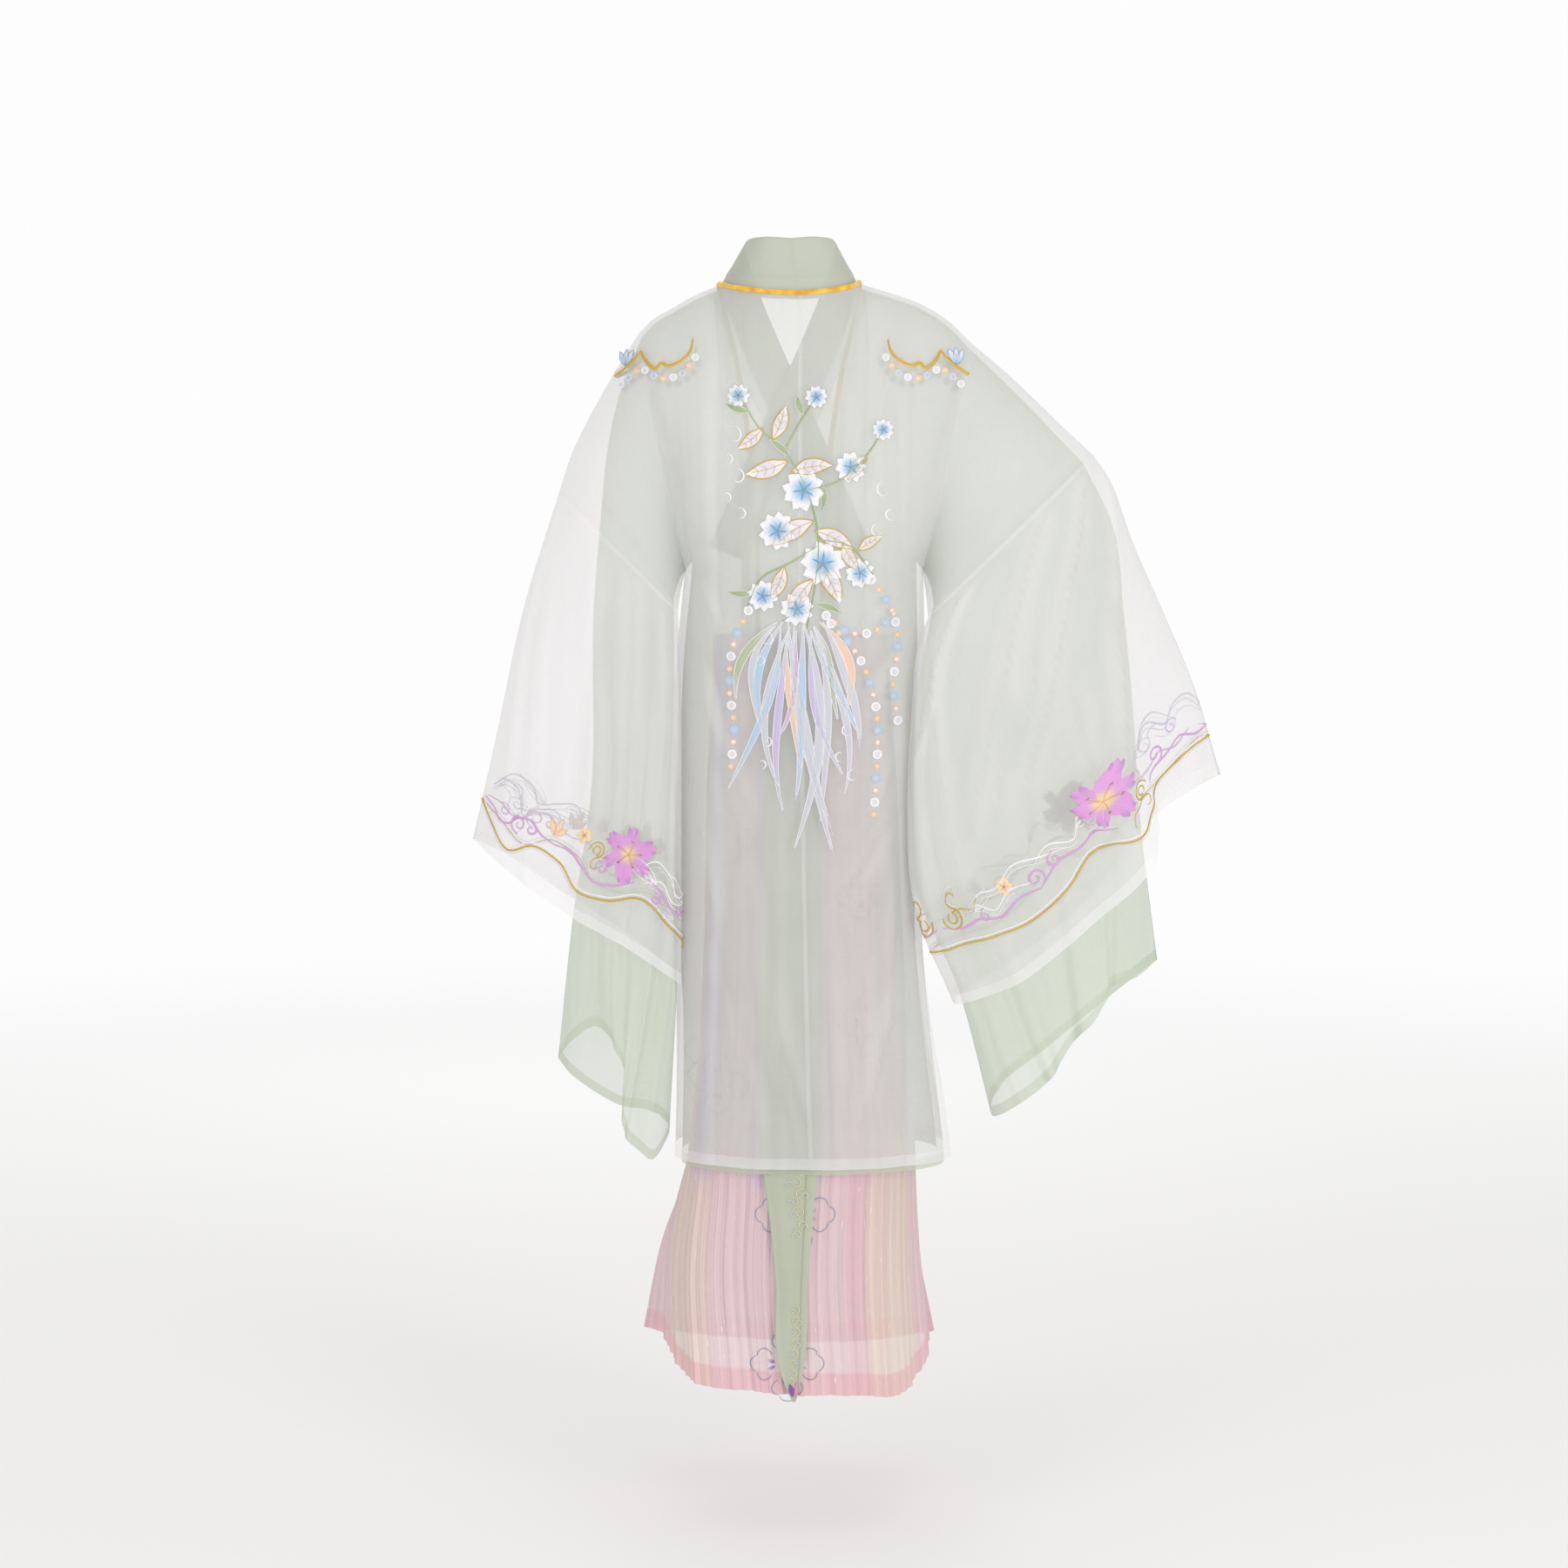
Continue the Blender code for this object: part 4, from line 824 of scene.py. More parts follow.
def sleeve(columns, cuff, fold_start, creases):
    """A wide sleeve as one tube, its folds growing towards the cuff's wavy edge.

    Each ring is the plain one between its two folds; what the cuff's loop departs from its own plain ring is
    added in, faded up the sleeve. Each crease is a bell curve round its line, raised along the cloth's normal.
    """
    along = np.linspace(0, 1, SLEEVE_STEPS + 1)
    at = {column: through(columns["along"], values, along) for column, values in columns.items()}
    tops, lows = spots(at, "top_x top_y top_z"), spots(at, "low_x low_y low_z")
    rings = np.stack([ring(*each, ROUND_RING) for each in zip(tops, lows, at["arm"], at["hang"])])
    wander = through(cuff["round"], spots(cuff), ROUND_RING) - rings[-1]
    shares = np.clip((along - fold_start) / (1 - fold_start), 0, 1) ** FOLD_FADE
    grid = rings + wander[None] * shares[:, None, None]
    along = along[:, None]
    height = 0 * ROUND_RING[None] * along
    for start_round, start_along, end_round, end_along, width, rise in creases:
        share = (along - start_along) / (end_along - start_along)
        centre = start_round + (end_round - start_round) * share
        fades = smooth(*CREASE_FADE, share) * smooth(*CREASE_FADE, 1 - share)
        away = (ROUND_RING[None] - centre + 0.5) % 1 - 0.5
        height = height + rise * MM * fades * bell(away, width)
    height = height * smooth(0, TOP_FADE, along)
    return grid + normals(grid) * height[..., None]


def sleeve_cloth(robe, word, grid, finish):
    """A robe's sleeve as a piece, its hem at the cuff and its seam at the top."""
    run = lengths(grid, 0)
    return cloth(f"{robe}_{word}_sleeve", [(grid, None, run[-1:] - run, run)], finish, f"{robe}_sleeve_{word}")


outer_sleeves = {
    side: sleeve(OUTER_SLEEVES[side], OUTER_CUFFS[side], OUTER_FOLD_START, OUTER_CREASES[side]) for side, _ in SIDES
}
left_sleeve, right_sleeve = (
    sleeve_cloth("outer", word, outer_sleeves[side], white_chiffon) for side, word in SIDES
)

# The neck binding: a bias strip of golden satin folded over the raw edge, round the back of the neck and down
# both front edges of the outer robe, stitched on by hand.

BINDING_HALF = 3.5 * MM
BINDING_THICK = 1.3 * MM
BINDING_LEAN = 0.55  # how far the binding leans to the neck for each unit it rises
BINDING_FRONT = 60 * MM  # in front of the neck by this depth it lies along the front edge
BINDING_ROUND = 12
PUCKER = 0.06  # how much its width wanders between the stitches
PUCKER_TURNS = 150  # in radians, over its whole length
SATIN_THREADS = 1600.0
SATIN_MOTTLE = 60
SATIN_TONES = (0.35, 0.65)
MOTTLE_RELIEF = 3.0  # against the weave's own
SATIN_RELIEF = (0.3, 0.0006)


def binding_way(line, side):
    """Which way the binding stands from its edge: up and in round the neck, to the middle in front."""
    turn = np.clip(-line[:, 1] / BINDING_FRONT, 0, 1)[:, None]
    to_neck = -line * (1, 1, 0) / np.linalg.norm(line[:, :2], axis=1)[:, None] * BINDING_LEAN
    return unit((to_neck + (0, 0, 1)) * (1 - turn) + np.array([-side, 0, 0]) * turn)


satin, tree, shader = new_material("golden_satin")
woven = placed(tree, weave, {"Threads": threads_of(tree), "Threads Each Metre": SATIN_THREADS})
tone = noise(add_node(tree, "TexCoord", {}, "Object"), SATIN_MOTTLE, 3)
plug(shader, {
    "Base Color": mixed(soft_step(tone, *SATIN_TONES), dye(222, 158, 8), dye(247, 200, 44)), "Roughness": 0.34,
    "Normal": raised(woven["Height"] + tone * MOTTLE_RELIEF, *SATIN_RELIEF), "Sheen Weight": 0.2, "Anisotropic": 0.4,
})

binding_grids = []
for side, _ in SIDES:
    _, edge_line, front_edge, neck_line = outer_halves[side]
    line = np.concatenate([neck_line, edge_line[1:], front_edge[1:]])
    way = binding_way(line, side)
    thick = np.cross(unit(np.gradient(line, axis=0)), way)
    turn = np.linspace(0, 2 * np.pi, BINDING_ROUND + 1)[None, :, None]
    ripple = 1 + PUCKER * np.sin(np.linspace(0, PUCKER_TURNS, len(line)))[:, None, None]
    grid = line[:, None] + way[:, None] * BINDING_HALF * (1 + np.cos(turn) * ripple)
    binding_grids.append((grid + thick[:, None] * BINDING_THICK * np.sin(turn), None, FAR, FAR))
neck_binding = cloth("neck_binding", binding_grids, satin, "outer_neck_binding")

# The inner robe: mint chiffon, crossed in front with the left side over the right, cut as the outer robe is
# but with narrower, longer sleeves whose deep hems hang below the outer cuffs.

mint_chiffon = sheer_finish("mint_chiffon_cloth", dye(194, 204, 184), dye(190, 199, 178), 0.44, 0.68, 0.6)
CROSSED_INSET = 8 * MM  # how far the right front lies inside the left one
INNER_LINES = {
    LEFT: (
        traced((-12, 72, -26), (29, 67, -24), (61, 50, -19), (90, 5, -10)),
        traced((90, 5, -10), (120, 1, -22), (147, -3, -37), (171, -5, -51), (188, -5, -69)),
        traced((188, -5, -69), (208, 0, -116), (222, 6, -162), (232, 12, -216), (238, 17, -276)),
        traced((124, 0, -350), (139, 18, -371), (147, 46, -397)),
    ),
    RIGHT: (
        traced((-12, 72, -26), (-45, 65, -23), (-71, 47, -17), (-87, 5, -8)),
        traced((-87, 5, -8), (-125, 1, -19), (-162, -3, -32), (-197, -5, -53), (-224, -5, -80)),
        traced((-224, -5, -80), (-265, -5, -119), (-305, -3, -158), (-341, 0, -196), (-371, 2, -227)),
        traced((-160, 0, -350), (-175, 20, -374), (-180, 50, -404)),
    ),
}
INNER_CUT = {
    "seam": traced((-12, 72, -26), (-12, 84, -66), (-12, 100, -133), (-12, 111, -216), (-12, 115, -350)),
    "edge": traced(
        (90, 5, -10), (78, -42, -36), (50, -88, -108), (10, -110, -196), (-34, -120, -286), (-64, -118, -350)
    ),
    "armhole": (84 * MM, 36 * MM),
    "sleeve_seam": (50 * MM, 16 * MM),
    "hem_z": -1116 * MM,
    "inset": 9 * MM,  # how far its body lies inside the outer robe's
    "rise": 12 * MM,  # and its underarm above the outer one's
}
INNER_FOLD_START = 0.66
INNER_SLEEVES = {
    LEFT: table(
        SLEEVE_COLUMNS,
        (0, 238, 17, -276, 147, 46, -397, 50, 16),
        (0.2, 249, 20, -412, 144, 57, -540, 46, 13),
        (0.5, 253, 20, -635, 142, 58, -720, 42, 12),
        (0.76, 279, 12, -812, 144, 56, -890, 36, 14),
        (1, 299, 0, -989, 157, 25, -1086, 30, 18),
    ),
    RIGHT: table(
        SLEEVE_COLUMNS,
        (0, -371, 2, -227, -180, 50, -404, 50, 16),
        (0.12, -408, 0, -302, -161, 65, -500, 50, 13),
        (0.3, -425, -3, -420, -153, 71, -620, 48, 12),
        (0.55, -440, -12, -560, -156, 67, -755, 42, 12),
        (0.8, -452, -20, -700, -216, 47, -900, 32, 12),
        (1, -472, -5, -862, -260, 25, -1060, 30, 18),
    ),
}
INNER_CUFFS = {
    LEFT: table(
        CUFF_COLUMNS,
        (0, 299, 0, -989), (0.083, 277, 28, -960), (0.167, 243, 44, -942), (0.208, 226, 56, -956),
        (0.25, 214, 69, -986), (0.292, 212, 77, -1026), (0.333, 214, 69, -1062), (0.417, 193, 50, -1100),
        (0.458, 175, 40, -1113), (0.5, 157, 25, -1086), (0.583, 168, -8, -1066), (0.75, 227, -40, -1056),
        (0.9, 283, -26, -1016), (1, 299, 0, -989),
    ),
    RIGHT: table(
        CUFF_COLUMNS,
        (0, -472, -5, -862), (0.083, -438, 18, -884), (0.125, -410, 24, -892), (0.167, -404, 44, -906),
        (0.208, -384, 54, -936), (0.25, -360, 44, -962), (0.292, -344, 46, -986), (0.333, -336, 60, -1000),
        (0.417, -296, 54, -1036), (0.5, -260, 25, -1060), (0.583, -264, -6, -1036), (0.75, -340, -34, -976),
        (0.9, -430, -28, -900), (1, -472, -5, -862),
    ),
}
INNER_CREASES = {
    LEFT: (
        (0.3, 0, 0.33, 0.85, 0.024, 3.8), (0.18, 0.1, 0.2, 1, 0.022, 3.4),
        (0.42, 0.2, 0.43, 1.1, 0.018, 3.2), (0.24, 0.3, 0.26, 1.1, 0.018, -3.4),
        (0.1, 0, 0.12, 0.9, 0.02, 3), (0.37, 0.1, 0.38, 1.1, 0.016, -3),
        (0.68, 0.05, 0.72, 0.9, 0.024, 3.2), (0.86, 0.1, 0.84, 0.9, 0.022, 3),
        (0.6, 0.2, 0.62, 1.1, 0.018, -2.8), (0.22, 0.55, 0.23, 1.15, 0.012, 4.6),
        (0.34, 0.6, 0.35, 1.15, 0.01, 4.4),
    ),
    RIGHT: (
        (0.12, 0, 0.3, 0.6, 0.02, 4), (0.24, 0.3, 0.28, 1.05, 0.018, 4),
        (0.4, 0.1, 0.42, 1.1, 0.016, 3.4), (0.33, 0.2, 0.37, 1.1, 0.015, -3.6),
        (0.16, 0.35, 0.19, 1.1, 0.016, -3.2), (0.45, 0.4, 0.46, 1.1, 0.013, 3),
        (0.66, 0.05, 0.72, 0.9, 0.024, 3.4), (0.88, 0.1, 0.84, 0.9, 0.022, 3.2),
        (0.58, 0.25, 0.6, 1.1, 0.018, -3), (0.1, 0.55, 0.12, 1.15, 0.012, 5),
        (0.22, 0.6, 0.23, 1.15, 0.01, 5.2), (0.36, 0.62, 0.365, 1.15, 0.011, -4.6),
    ),
}
inner_halves = {
    side: body_half(side, INNER_LINES[side], under, **INNER_CUT)
    for side, under in ((LEFT, 0), (RIGHT, CROSSED_INSET))
}
inner_body_left, inner_body_right = (
    cloth(f"inner_{word}_half", inner_halves[side][0], mint_chiffon, f"inner_body_{word}")
    for side, word in SIDES
)
mint_left_sleeve, mint_right_sleeve = (
    sleeve_cloth(
        "inner", word, sleeve(INNER_SLEEVES[side], INNER_CUFFS[side], INNER_FOLD_START, INNER_CREASES[side]),
        mint_chiffon,
    )
    for side, word in SIDES
)

# The inner collar: a long doubled band of the same mint chiffon, seamed at the centre back, standing up round
# the neck with a soft fold across it and running down both crossed fronts.

COLLAR_TOP = table(
    "share x y z",
    (0, 0, 54, 50), (0.1, 34, 47, 52), (0.2, 56, 14, 48), (0.34, 46, -34, 6), (0.52, 8, -88, -84),
    (0.7, -36, -112, -176), (0.86, -78, -116, -270), (1, -104, -108, -332),
)
COLLAR_ROWS = 16
COLLAR_PLY = 0.8 * MM  # half the gap between the doubled band's two layers
THROAT_SHARE = 0.34  # where the collar's two ends begin to cross
CHEST_TOP = 90 * MM  # below this depth the band starts to lie on the chest
CHEST_SETTLE = 60 * MM
SLUMP = 1.6 * MM  # how far the soft fold across it stands out
SLUMP_AT, SLUMP_WIDTH = 0.34, 0.10  # as shares of the band's height
SLUMP_END = 0.5
CREASE_AT = 0.36
CREASE_START = 0.25
COLLAR_HEIGHT = 70  # about, from which a share of it is counted in millimetres
collar_chiffon = sheer_finish("doubled_mint_chiffon", dye(192, 196, 182), dye(182, 188, 170), 0.76, 0.9, 0.6)
collar_grids = []
for side, under in ((LEFT, 0), (RIGHT, CROSSED_INSET)):
    _, edge_line, _, neck_line = inner_halves[side]
    base = np.concatenate([neck_line, edge_line[1:]])
    share = np.linspace(0, 1, len(base))
    top = through(COLLAR_TOP["share"], spots(COLLAR_TOP), share) * (side, 1, 1)
    top[:, 1] += under * np.clip(share / THROAT_SHARE, 0, 1)
    rise = np.linspace(0, 1, COLLAR_ROWS + 1)[:, None, None]
    band = base[None] * (1 - rise) + top[None] * rise
    on_chest = np.clip((-band[..., 2] - CHEST_TOP) / CHEST_SETTLE, 0, 1)
    band[1:] = hanging_folds(laid(band, INNER_CUT["inset"] + under, on_chest))[1:]
    outward = band * (1, 1, 0) / np.linalg.norm(band[..., :2], axis=-1, keepdims=True)
    slump = SLUMP * bell(rise - SLUMP_AT, SLUMP_WIDTH) * (1 - np.clip(share / SLUMP_END, 0, 1))[None, :, None]
    outside = band + outward * (COLLAR_PLY + slump)
    inside = band - outward * COLLAR_PLY
    crease = np.abs(rise[..., 0] - CREASE_AT) * COLLAR_HEIGHT * MM + np.clip(share - CREASE_START, 0, 1)[None]
    collar_grids.append((outside, None, FAR, np.minimum(crease, lengths(band, 1))))
    collar_grids.append((inside, None, FAR, FAR))
    fold = np.stack([outside[-1], band[-1] + (0, 0, COLLAR_PLY), inside[-1]])
    collar_grids.append((fold, (0, 0, 1), FAR, FAR))
collar = cloth("inner_collar_band", collar_grids, collar_chiffon, "inner_collar")

# The skirt: twelve lengths of crinkled gauze in soft colours shot with silver, sewn side by side and gathered to
# fall in fine folds straight from a flat waistband to a deep turned hem.

SKIRT = table(
    "z centre_x back_half front_half back_y front_y depth",
    (-486, -13, 112, 112, 90, -96, 4),
    (-620, -14, 120, 122, 98, -106, 4),
    (-800, -16, 124, 130, 100, -109, 4.2),
    (-1000, -16, 134, 140, 105, -113, 4.6),
    (-1110, -14, 145, 151, 114.7, -119, 5),
    (-1250, -6, 160, 178, 131, -147, 6),
    (-1400, -12, 166, 196, 152, -172, 7),
)
SKIRT_HEM = table(
    "round x y z",
    (0, -14, 152, -1391), (0.08, 48, 150, -1386), (0.17, 118, 130, -1381), (0.25, 154, 58, -1367),
    (0.31, 168, -40, -1362), (0.38, 194, -125, -1374), (0.44, 112, -166, -1396), (0.5, -8, -174, -1406),
    (0.57, -120, -166, -1402), (0.63, -188, -130, -1382), (0.7, -184, -35, -1360), (0.77, -174, 52, -1378),
    (0.83, -148, 118, -1395), (0.92, -88, 148, -1392), (1, -14, 152, -1391),
)
HEM_SWAY = 0.7  # below 1 the hem's corners reach far up the skirt
SWAY_TOP = -1110 * MM
SKIRT_FOLDS = 64
FOLD_STEPS = 12
FOLD_SHARE = 0.34  # the gauze's own folds are this much of the room its gathers take up
FOLD_WANDER = 0.008  # how far a fold strays round the waist
DRAPES = ((0.25, 7, 0.4), (0.2, 17, 1.9), (0.12, 31, 0))  # the broad folds: size, count and start of each wave
CRIMP = 0.35 * MM
SKIRT_ROWS = 64
# The fold lines where each length is sewn to the next, counted from the centre back round by the left side.
LENGTH_SEAMS = (0, 10, 22, 32, 42, 54, 64, 74, 86, 96, 106, 118, 128)
WAISTBAND_TOP = -445 * MM
BAND_ROWS, BAND_STEPS = 9, 145
SKIRT_ROUND = 1.07  # the hem's length, for the threads' UV
FULL_TURN = 2 * np.pi

PALE_PINK = dye(224, 197, 200)
LILAC_PINK = dye(222, 196, 202)
ROSE = dye(220, 184, 191)
PEACH = dye(224, 201, 191)
BEIGE = dye(222, 205, 194)
LAVENDER = dye(206, 190, 246)
SAGE = dye(206, 214, 222)
HIGH_PINK = dye(242, 196, 222)
HIGH_BEIGE = dye(238, 206, 212)
HIGH_PEACH = dye(240, 204, 206)
DEEP_ROSE = dye(226, 160, 168)
SILVER_AND_PAINTED_GLINT = (1.0, 0.99, 0.97)
PANEL_JOIN = 0.007  # half the width of the soft join between two colours, as a share of the round
ROBE_HEM = (1.06, 1.16)  # the depths between which the colours seen through the robe give way to the open skirt's
GAUZE_HEM = (0.026, 0.030)
HEM_TINT = 0.45
CRINKLE = {"Scale": 15.0, "Distortion": 1.2, "Detail": 1.0}
CRINKLE_STRETCH = (1.0, 0.04, 1.0)
STREAK_STRETCH = (260.0, 3.0, 1.0)
GLINT_STRETCH = (420.0, 45.0, 1.0)
GLINT_EDGE = (0.70, 0.76)
GLINT_PATCHES, PATCH_EDGE = 26, (0.5, 0.6)
# How bright the streaks are painted, as highlights and as denser threads, and how dark the crinkles' shade is
# painted.
STREAK_HIGHLIGHT_AND_DENSITY = 0.28
CRINKLE_PAINTED_SHADE = 0.10
STREAK_COVER = 0.5
GAUZE_ROUGH = 0.62
GLINT_SMOOTH = 0.35  # what a silver glint takes from the roughness
GAUZE_COVER = 0.80
HEM_COVER = 0.25  # what the turned hem adds to the cover
CRINKLE_RELIEF = (0.5, 0.0008)


def at_heights(columns, heights):
    """The columns of a table read at given heights, each as a column of its own."""
    return {
        name: heights[:, None] if name == "z" else through(-columns["z"], values, -heights)[:, None]
        for name, values in columns.items()
    }


def oval(rows, turn):
    """The skirt's plain section at a turn from the centre back: an oval, wider in front than behind."""
    half = rows["back_half"] + (rows["front_half"] - rows["back_half"]) * (1 - np.cos(turn)) / 2
    deep = np.where(np.cos(turn) > 0, rows["back_y"], -rows["front_y"])
    x = rows["centre_x"] + half * np.sin(turn)
    y = deep * np.cos(turn)
    return np.stack([x, y, np.broadcast_to(rows["z"], x.shape)], axis=-1)


def skirt_face(heights, turn):
    """The skirt without its folds: ovals that take on the hem's own line from below the hips down."""
    hem = through(SKIRT_HEM["round"], spots(SKIRT_HEM), turn / FULL_TURN % 1)
    share = np.clip((SWAY_TOP - heights) / (SWAY_TOP - SKIRT["z"][-1]), 0, 1)[:, None, None] ** HEM_SWAY
    plain_hem = oval(at_heights(SKIRT, SKIRT["z"][-1:]), turn)
    return oval(at_heights(SKIRT, heights), turn) + (hem - plain_hem) * share


def uneven(turn):
    """How the folds' size wanders round the waist, from about 0.6 to 1.4 of their mean."""
    return 1 + 0.25 * np.sin(5 * turn + 0.7) + 0.15 * np.sin(11 * turn + 2.0)


def skirt_uv(turn, down):
    """UV in metres: how far round the skirt, and how far down."""
    return np.stack(np.broadcast_arrays((turn / FULL_TURN * SKIRT_ROUND)[None], down), axis=-1)


def panels(place, *stops):
    """A Color Ramp of panels: each colour holds from its share of the round on, with a soft join."""
    ramp = add_node(place.tree, "ValToRGB", {0: place})
    elements = ramp.socket.node.color_ramp.elements
    for (_, before), (start, after) in zip(stops, stops[1:]):
        elements.new(start - PANEL_JOIN).color = (*before, 1)
        elements.new(start + PANEL_JOIN).color = (*after, 1)
    elements[0].color = (*stops[0][1], 1)
    elements[-1].color = (*stops[-1][1], 1)
    return ramp


gauze, tree, shader = new_material("crinkled_gauze")
threads, place = threads_of(tree), add_node(tree, "TexCoord", {}, "Object")
skirt_share = add_node(tree, "SeparateXYZ", {0: threads}, "X") / SKIRT_ROUND
low_panels = panels(
    skirt_share, (0.0, LILAC_PINK), (0.094, PALE_PINK), (0.145, PEACH), (0.185, BEIGE), (0.262, PALE_PINK),
    (0.40, LILAC_PINK), (0.52, PEACH), (0.60, ROSE), (0.70, PALE_PINK), (0.79, BEIGE), (0.86, PEACH), (0.898, ROSE),
    (0.932, PALE_PINK),
)
high_panels = panels(
    skirt_share, (0.0, LAVENDER), (0.075, HIGH_BEIGE), (0.15, LAVENDER), (0.215, HIGH_PEACH), (0.30, HIGH_PINK),
    (0.42, LAVENDER), (0.52, HIGH_PEACH), (0.62, ROSE), (0.74, SAGE), (0.80, HIGH_BEIGE), (0.885, HIGH_PINK),
    (0.965, SAGE), (0.985, LAVENDER),
)
depth = add_node(tree, "SeparateXYZ", {0: place}, "Z") * -1.0
in_hem = (1.0 - soft_step(value_named(tree, "hem"), *GAUZE_HEM)) * HEM_TINT
colour = mixed(in_hem, mixed(soft_step(depth, *ROBE_HEM), high_panels, low_panels), DEEP_ROSE)
# Painted light on the gauze: its crinkles' ridges and troughs are painted lighter and darker, and its streaks are
# painted as bright highlights; the streaks also make it thinner in some places and denser in others.
crinkles = add_node(tree, "TexWave", {"Vector": stretched(threads, CRINKLE_STRETCH), **CRINKLE}, "Fac")
streaks = noise(stretched(threads, STREAK_STRETCH), 1.0, 2)
streak_highlight_and_density = (streaks - 0.5) * STREAK_HIGHLIGHT_AND_DENSITY
shaded = scaled(colour, streak_highlight_and_density + (crinkles - 0.5) * CRINKLE_PAINTED_SHADE + 1.0)
# Painted glints: the silver threads' sparkle is painted near white into the colour, where the threads are also
# smoother.
glints = soft_step(noise(stretched(threads, GLINT_STRETCH), 1.0, 1), *GLINT_EDGE)
glints = glints * soft_step(noise(place, GLINT_PATCHES, 1), *PATCH_EDGE)
plug(shader, {
    "Base Color": mixed(glints, shaded, SILVER_AND_PAINTED_GLINT), "Roughness": GAUZE_ROUGH - glints * GLINT_SMOOTH,
    "Alpha": maths("ADD", streak_highlight_and_density * STREAK_COVER + GAUZE_COVER, in_hem * HEM_COVER, clamp=True),
    "Normal": raised(crinkles + streaks, *CRINKLE_RELIEF), "Sheen Weight": 0.1,
})

skirt_heights = np.linspace(SKIRT["z"][0], SKIRT["z"][-1], SKIRT_ROWS + 1)
skirt_turn = np.linspace(0, FULL_TURN, SKIRT_FOLDS * FOLD_STEPS + 1)
fold_turn = skirt_turn + FOLD_WANDER * np.sin(9 * skirt_turn)
drape = sum(size * np.sin(count * skirt_turn + start) for size, count, start in DRAPES)
valley = 0.5 - 0.5 * FOLD_SHARE * np.cos(skirt_turn * SKIRT_FOLDS) * uneven(fold_turn) - drape
crimp = CRIMP * np.sin(skirt_turn * SKIRT_FOLDS * 3)
sunk = (valley[None] * at_heights(SKIRT, skirt_heights)["depth"] + crimp[None])[..., None]
inwards = np.stack([-np.sin(fold_turn), -np.cos(fold_turn), 0 * fold_turn], axis=-1)[None]
skirt_grid = skirt_face(skirt_heights, fold_turn[None]) + sunk * inwards
skirt_grid[:, -1] = skirt_grid[:, 0]
skirt_threads = skirt_uv(skirt_turn, (skirt_heights[0] - skirt_heights)[:, None])
from_hem = np.broadcast_to((skirt_heights - skirt_heights[-1])[:, None], skirt_grid.shape[:2])
skirt_lengths = []
for number, (start, end) in enumerate(zip(LENGTH_SEAMS, LENGTH_SEAMS[1:]), 1):
    part = slice(start * FOLD_STEPS // 2, end * FOLD_STEPS // 2 + 1)
    middle = fold_turn[part].mean()
    outward = (np.sin(middle), np.cos(middle), 0)
    grid = (skirt_grid[:, part], outward, from_hem[:, part], FAR, skirt_threads[:, part])
    skirt_lengths.append(cloth(f"gauze_length_{number}", [grid], gauze, f"skirt_length_{number}"))
band_turn = np.linspace(0, FULL_TURN, BAND_STEPS)
band_rows = at_heights(SKIRT, np.full(BAND_ROWS, SKIRT["z"][0]))
band_rows["z"] = np.linspace(WAISTBAND_TOP, SKIRT["z"][0], BAND_ROWS)[:, None]
band_threads = skirt_uv(band_turn, band_rows["z"][0] - band_rows["z"])
band_grid = (oval(band_rows, band_turn[None]), None, FAR, FAR, band_threads)
waistband = cloth("waistband", [band_grid], gauze, "skirt_waistband")

# The sash tail: a strip of sage green gauze folded lengthwise, its top layer short of the under layer's edge,
# hanging down the centre back of the skirt to a point.

SASH = table(
    "z left_x right_x",
    (-450, 30, -34), (-700, 34, -35), (-1110, 36, -33), (-1250, 25, -22), (-1385, 16, -10), (-1406, 4, -2),
)
SASH_LIFT = 4.4 * MM
SASH_TOP = 1.5 * MM  # how far the top layer lies above the under one
SASH_PUFF = 0.8 * MM  # and how much further in its middle
SASH_BULGE = 1.2 * MM
SASH_ROWS = 90
SASH_COVER = 0.80  # the share of the width that the top layer covers
SASH_WIDTH = 60  # about, from which a share of it is counted in millimetres
SASH_TURN = 0.6 * MM


def on_sash(x, z, lift):
    """A place on the sash: on the skirt's face there, brought out by a lift."""
    on_skirt = np.clip(z, SKIRT["z"][-1], SKIRT["z"][0])
    rows = at_heights(SKIRT, on_skirt.reshape(-1))
    turn = np.arcsin(np.clip((x.reshape(-1, 1) - rows["centre_x"]) / rows["back_half"], -1, 1))
    place = skirt_face(on_skirt.reshape(-1), turn)[:, 0].reshape(*x.shape, 3)
    place[..., 1] += lift
    place[..., 2] += z - on_skirt
    return place


sash_z = np.concatenate([np.linspace(SASH["z"][0], SASH["z"][-2], SASH_ROWS), np.linspace(-1388, -1406, 8) * MM])
sash_left, sash_right = (through(-SASH["z"], SASH[name], -sash_z)[:, None] for name in ("left_x", "right_x"))
sash_z = sash_z[:, None]
under_share = np.linspace(1, 0, 15)[None]
over_share = np.linspace(0, SASH_COVER, 21)[None]
sash_share = np.concatenate([under_share, over_share], axis=1)
sash_x = sash_left + (sash_right - sash_left) * sash_share
puff = SASH_TOP + SASH_PUFF * np.sin(np.pi * over_share / SASH_COVER)
sash_lift = np.concatenate([0 * under_share, puff], axis=1) + 0 * sash_z
sash_bulge = SASH_BULGE * np.sin(sash_share * 9 + sash_z * 11) * (sash_lift > 0)
sash_grid = on_sash(sash_x, sash_z + 0 * sash_x, SASH_LIFT + sash_lift + 0.3 * sash_bulge)
sash_edge = np.minimum(np.abs(sash_share - SASH_COVER) * SASH_WIDTH * MM, FAR) + 0 * sash_z + SASH_TURN
green_gauze = sheer_finish(
    "sage_gauze", dye(184, 190, 170), dye(172, 178, 156), 0.93, 0.97, 0.5, wander=0.16, sheen=0.25
)
sash = cloth("sash_strip", [(sash_grid, (0, 1, 0), FAR, sash_edge)], green_gauze, "sash_tail")

# The embroidery: silk thread and gilt cord worked by machine through the chiffon. Every stroke is a narrow
# domed strip laid along a smooth line on the flat cloth, in millimetres, then carried onto the worn shape.

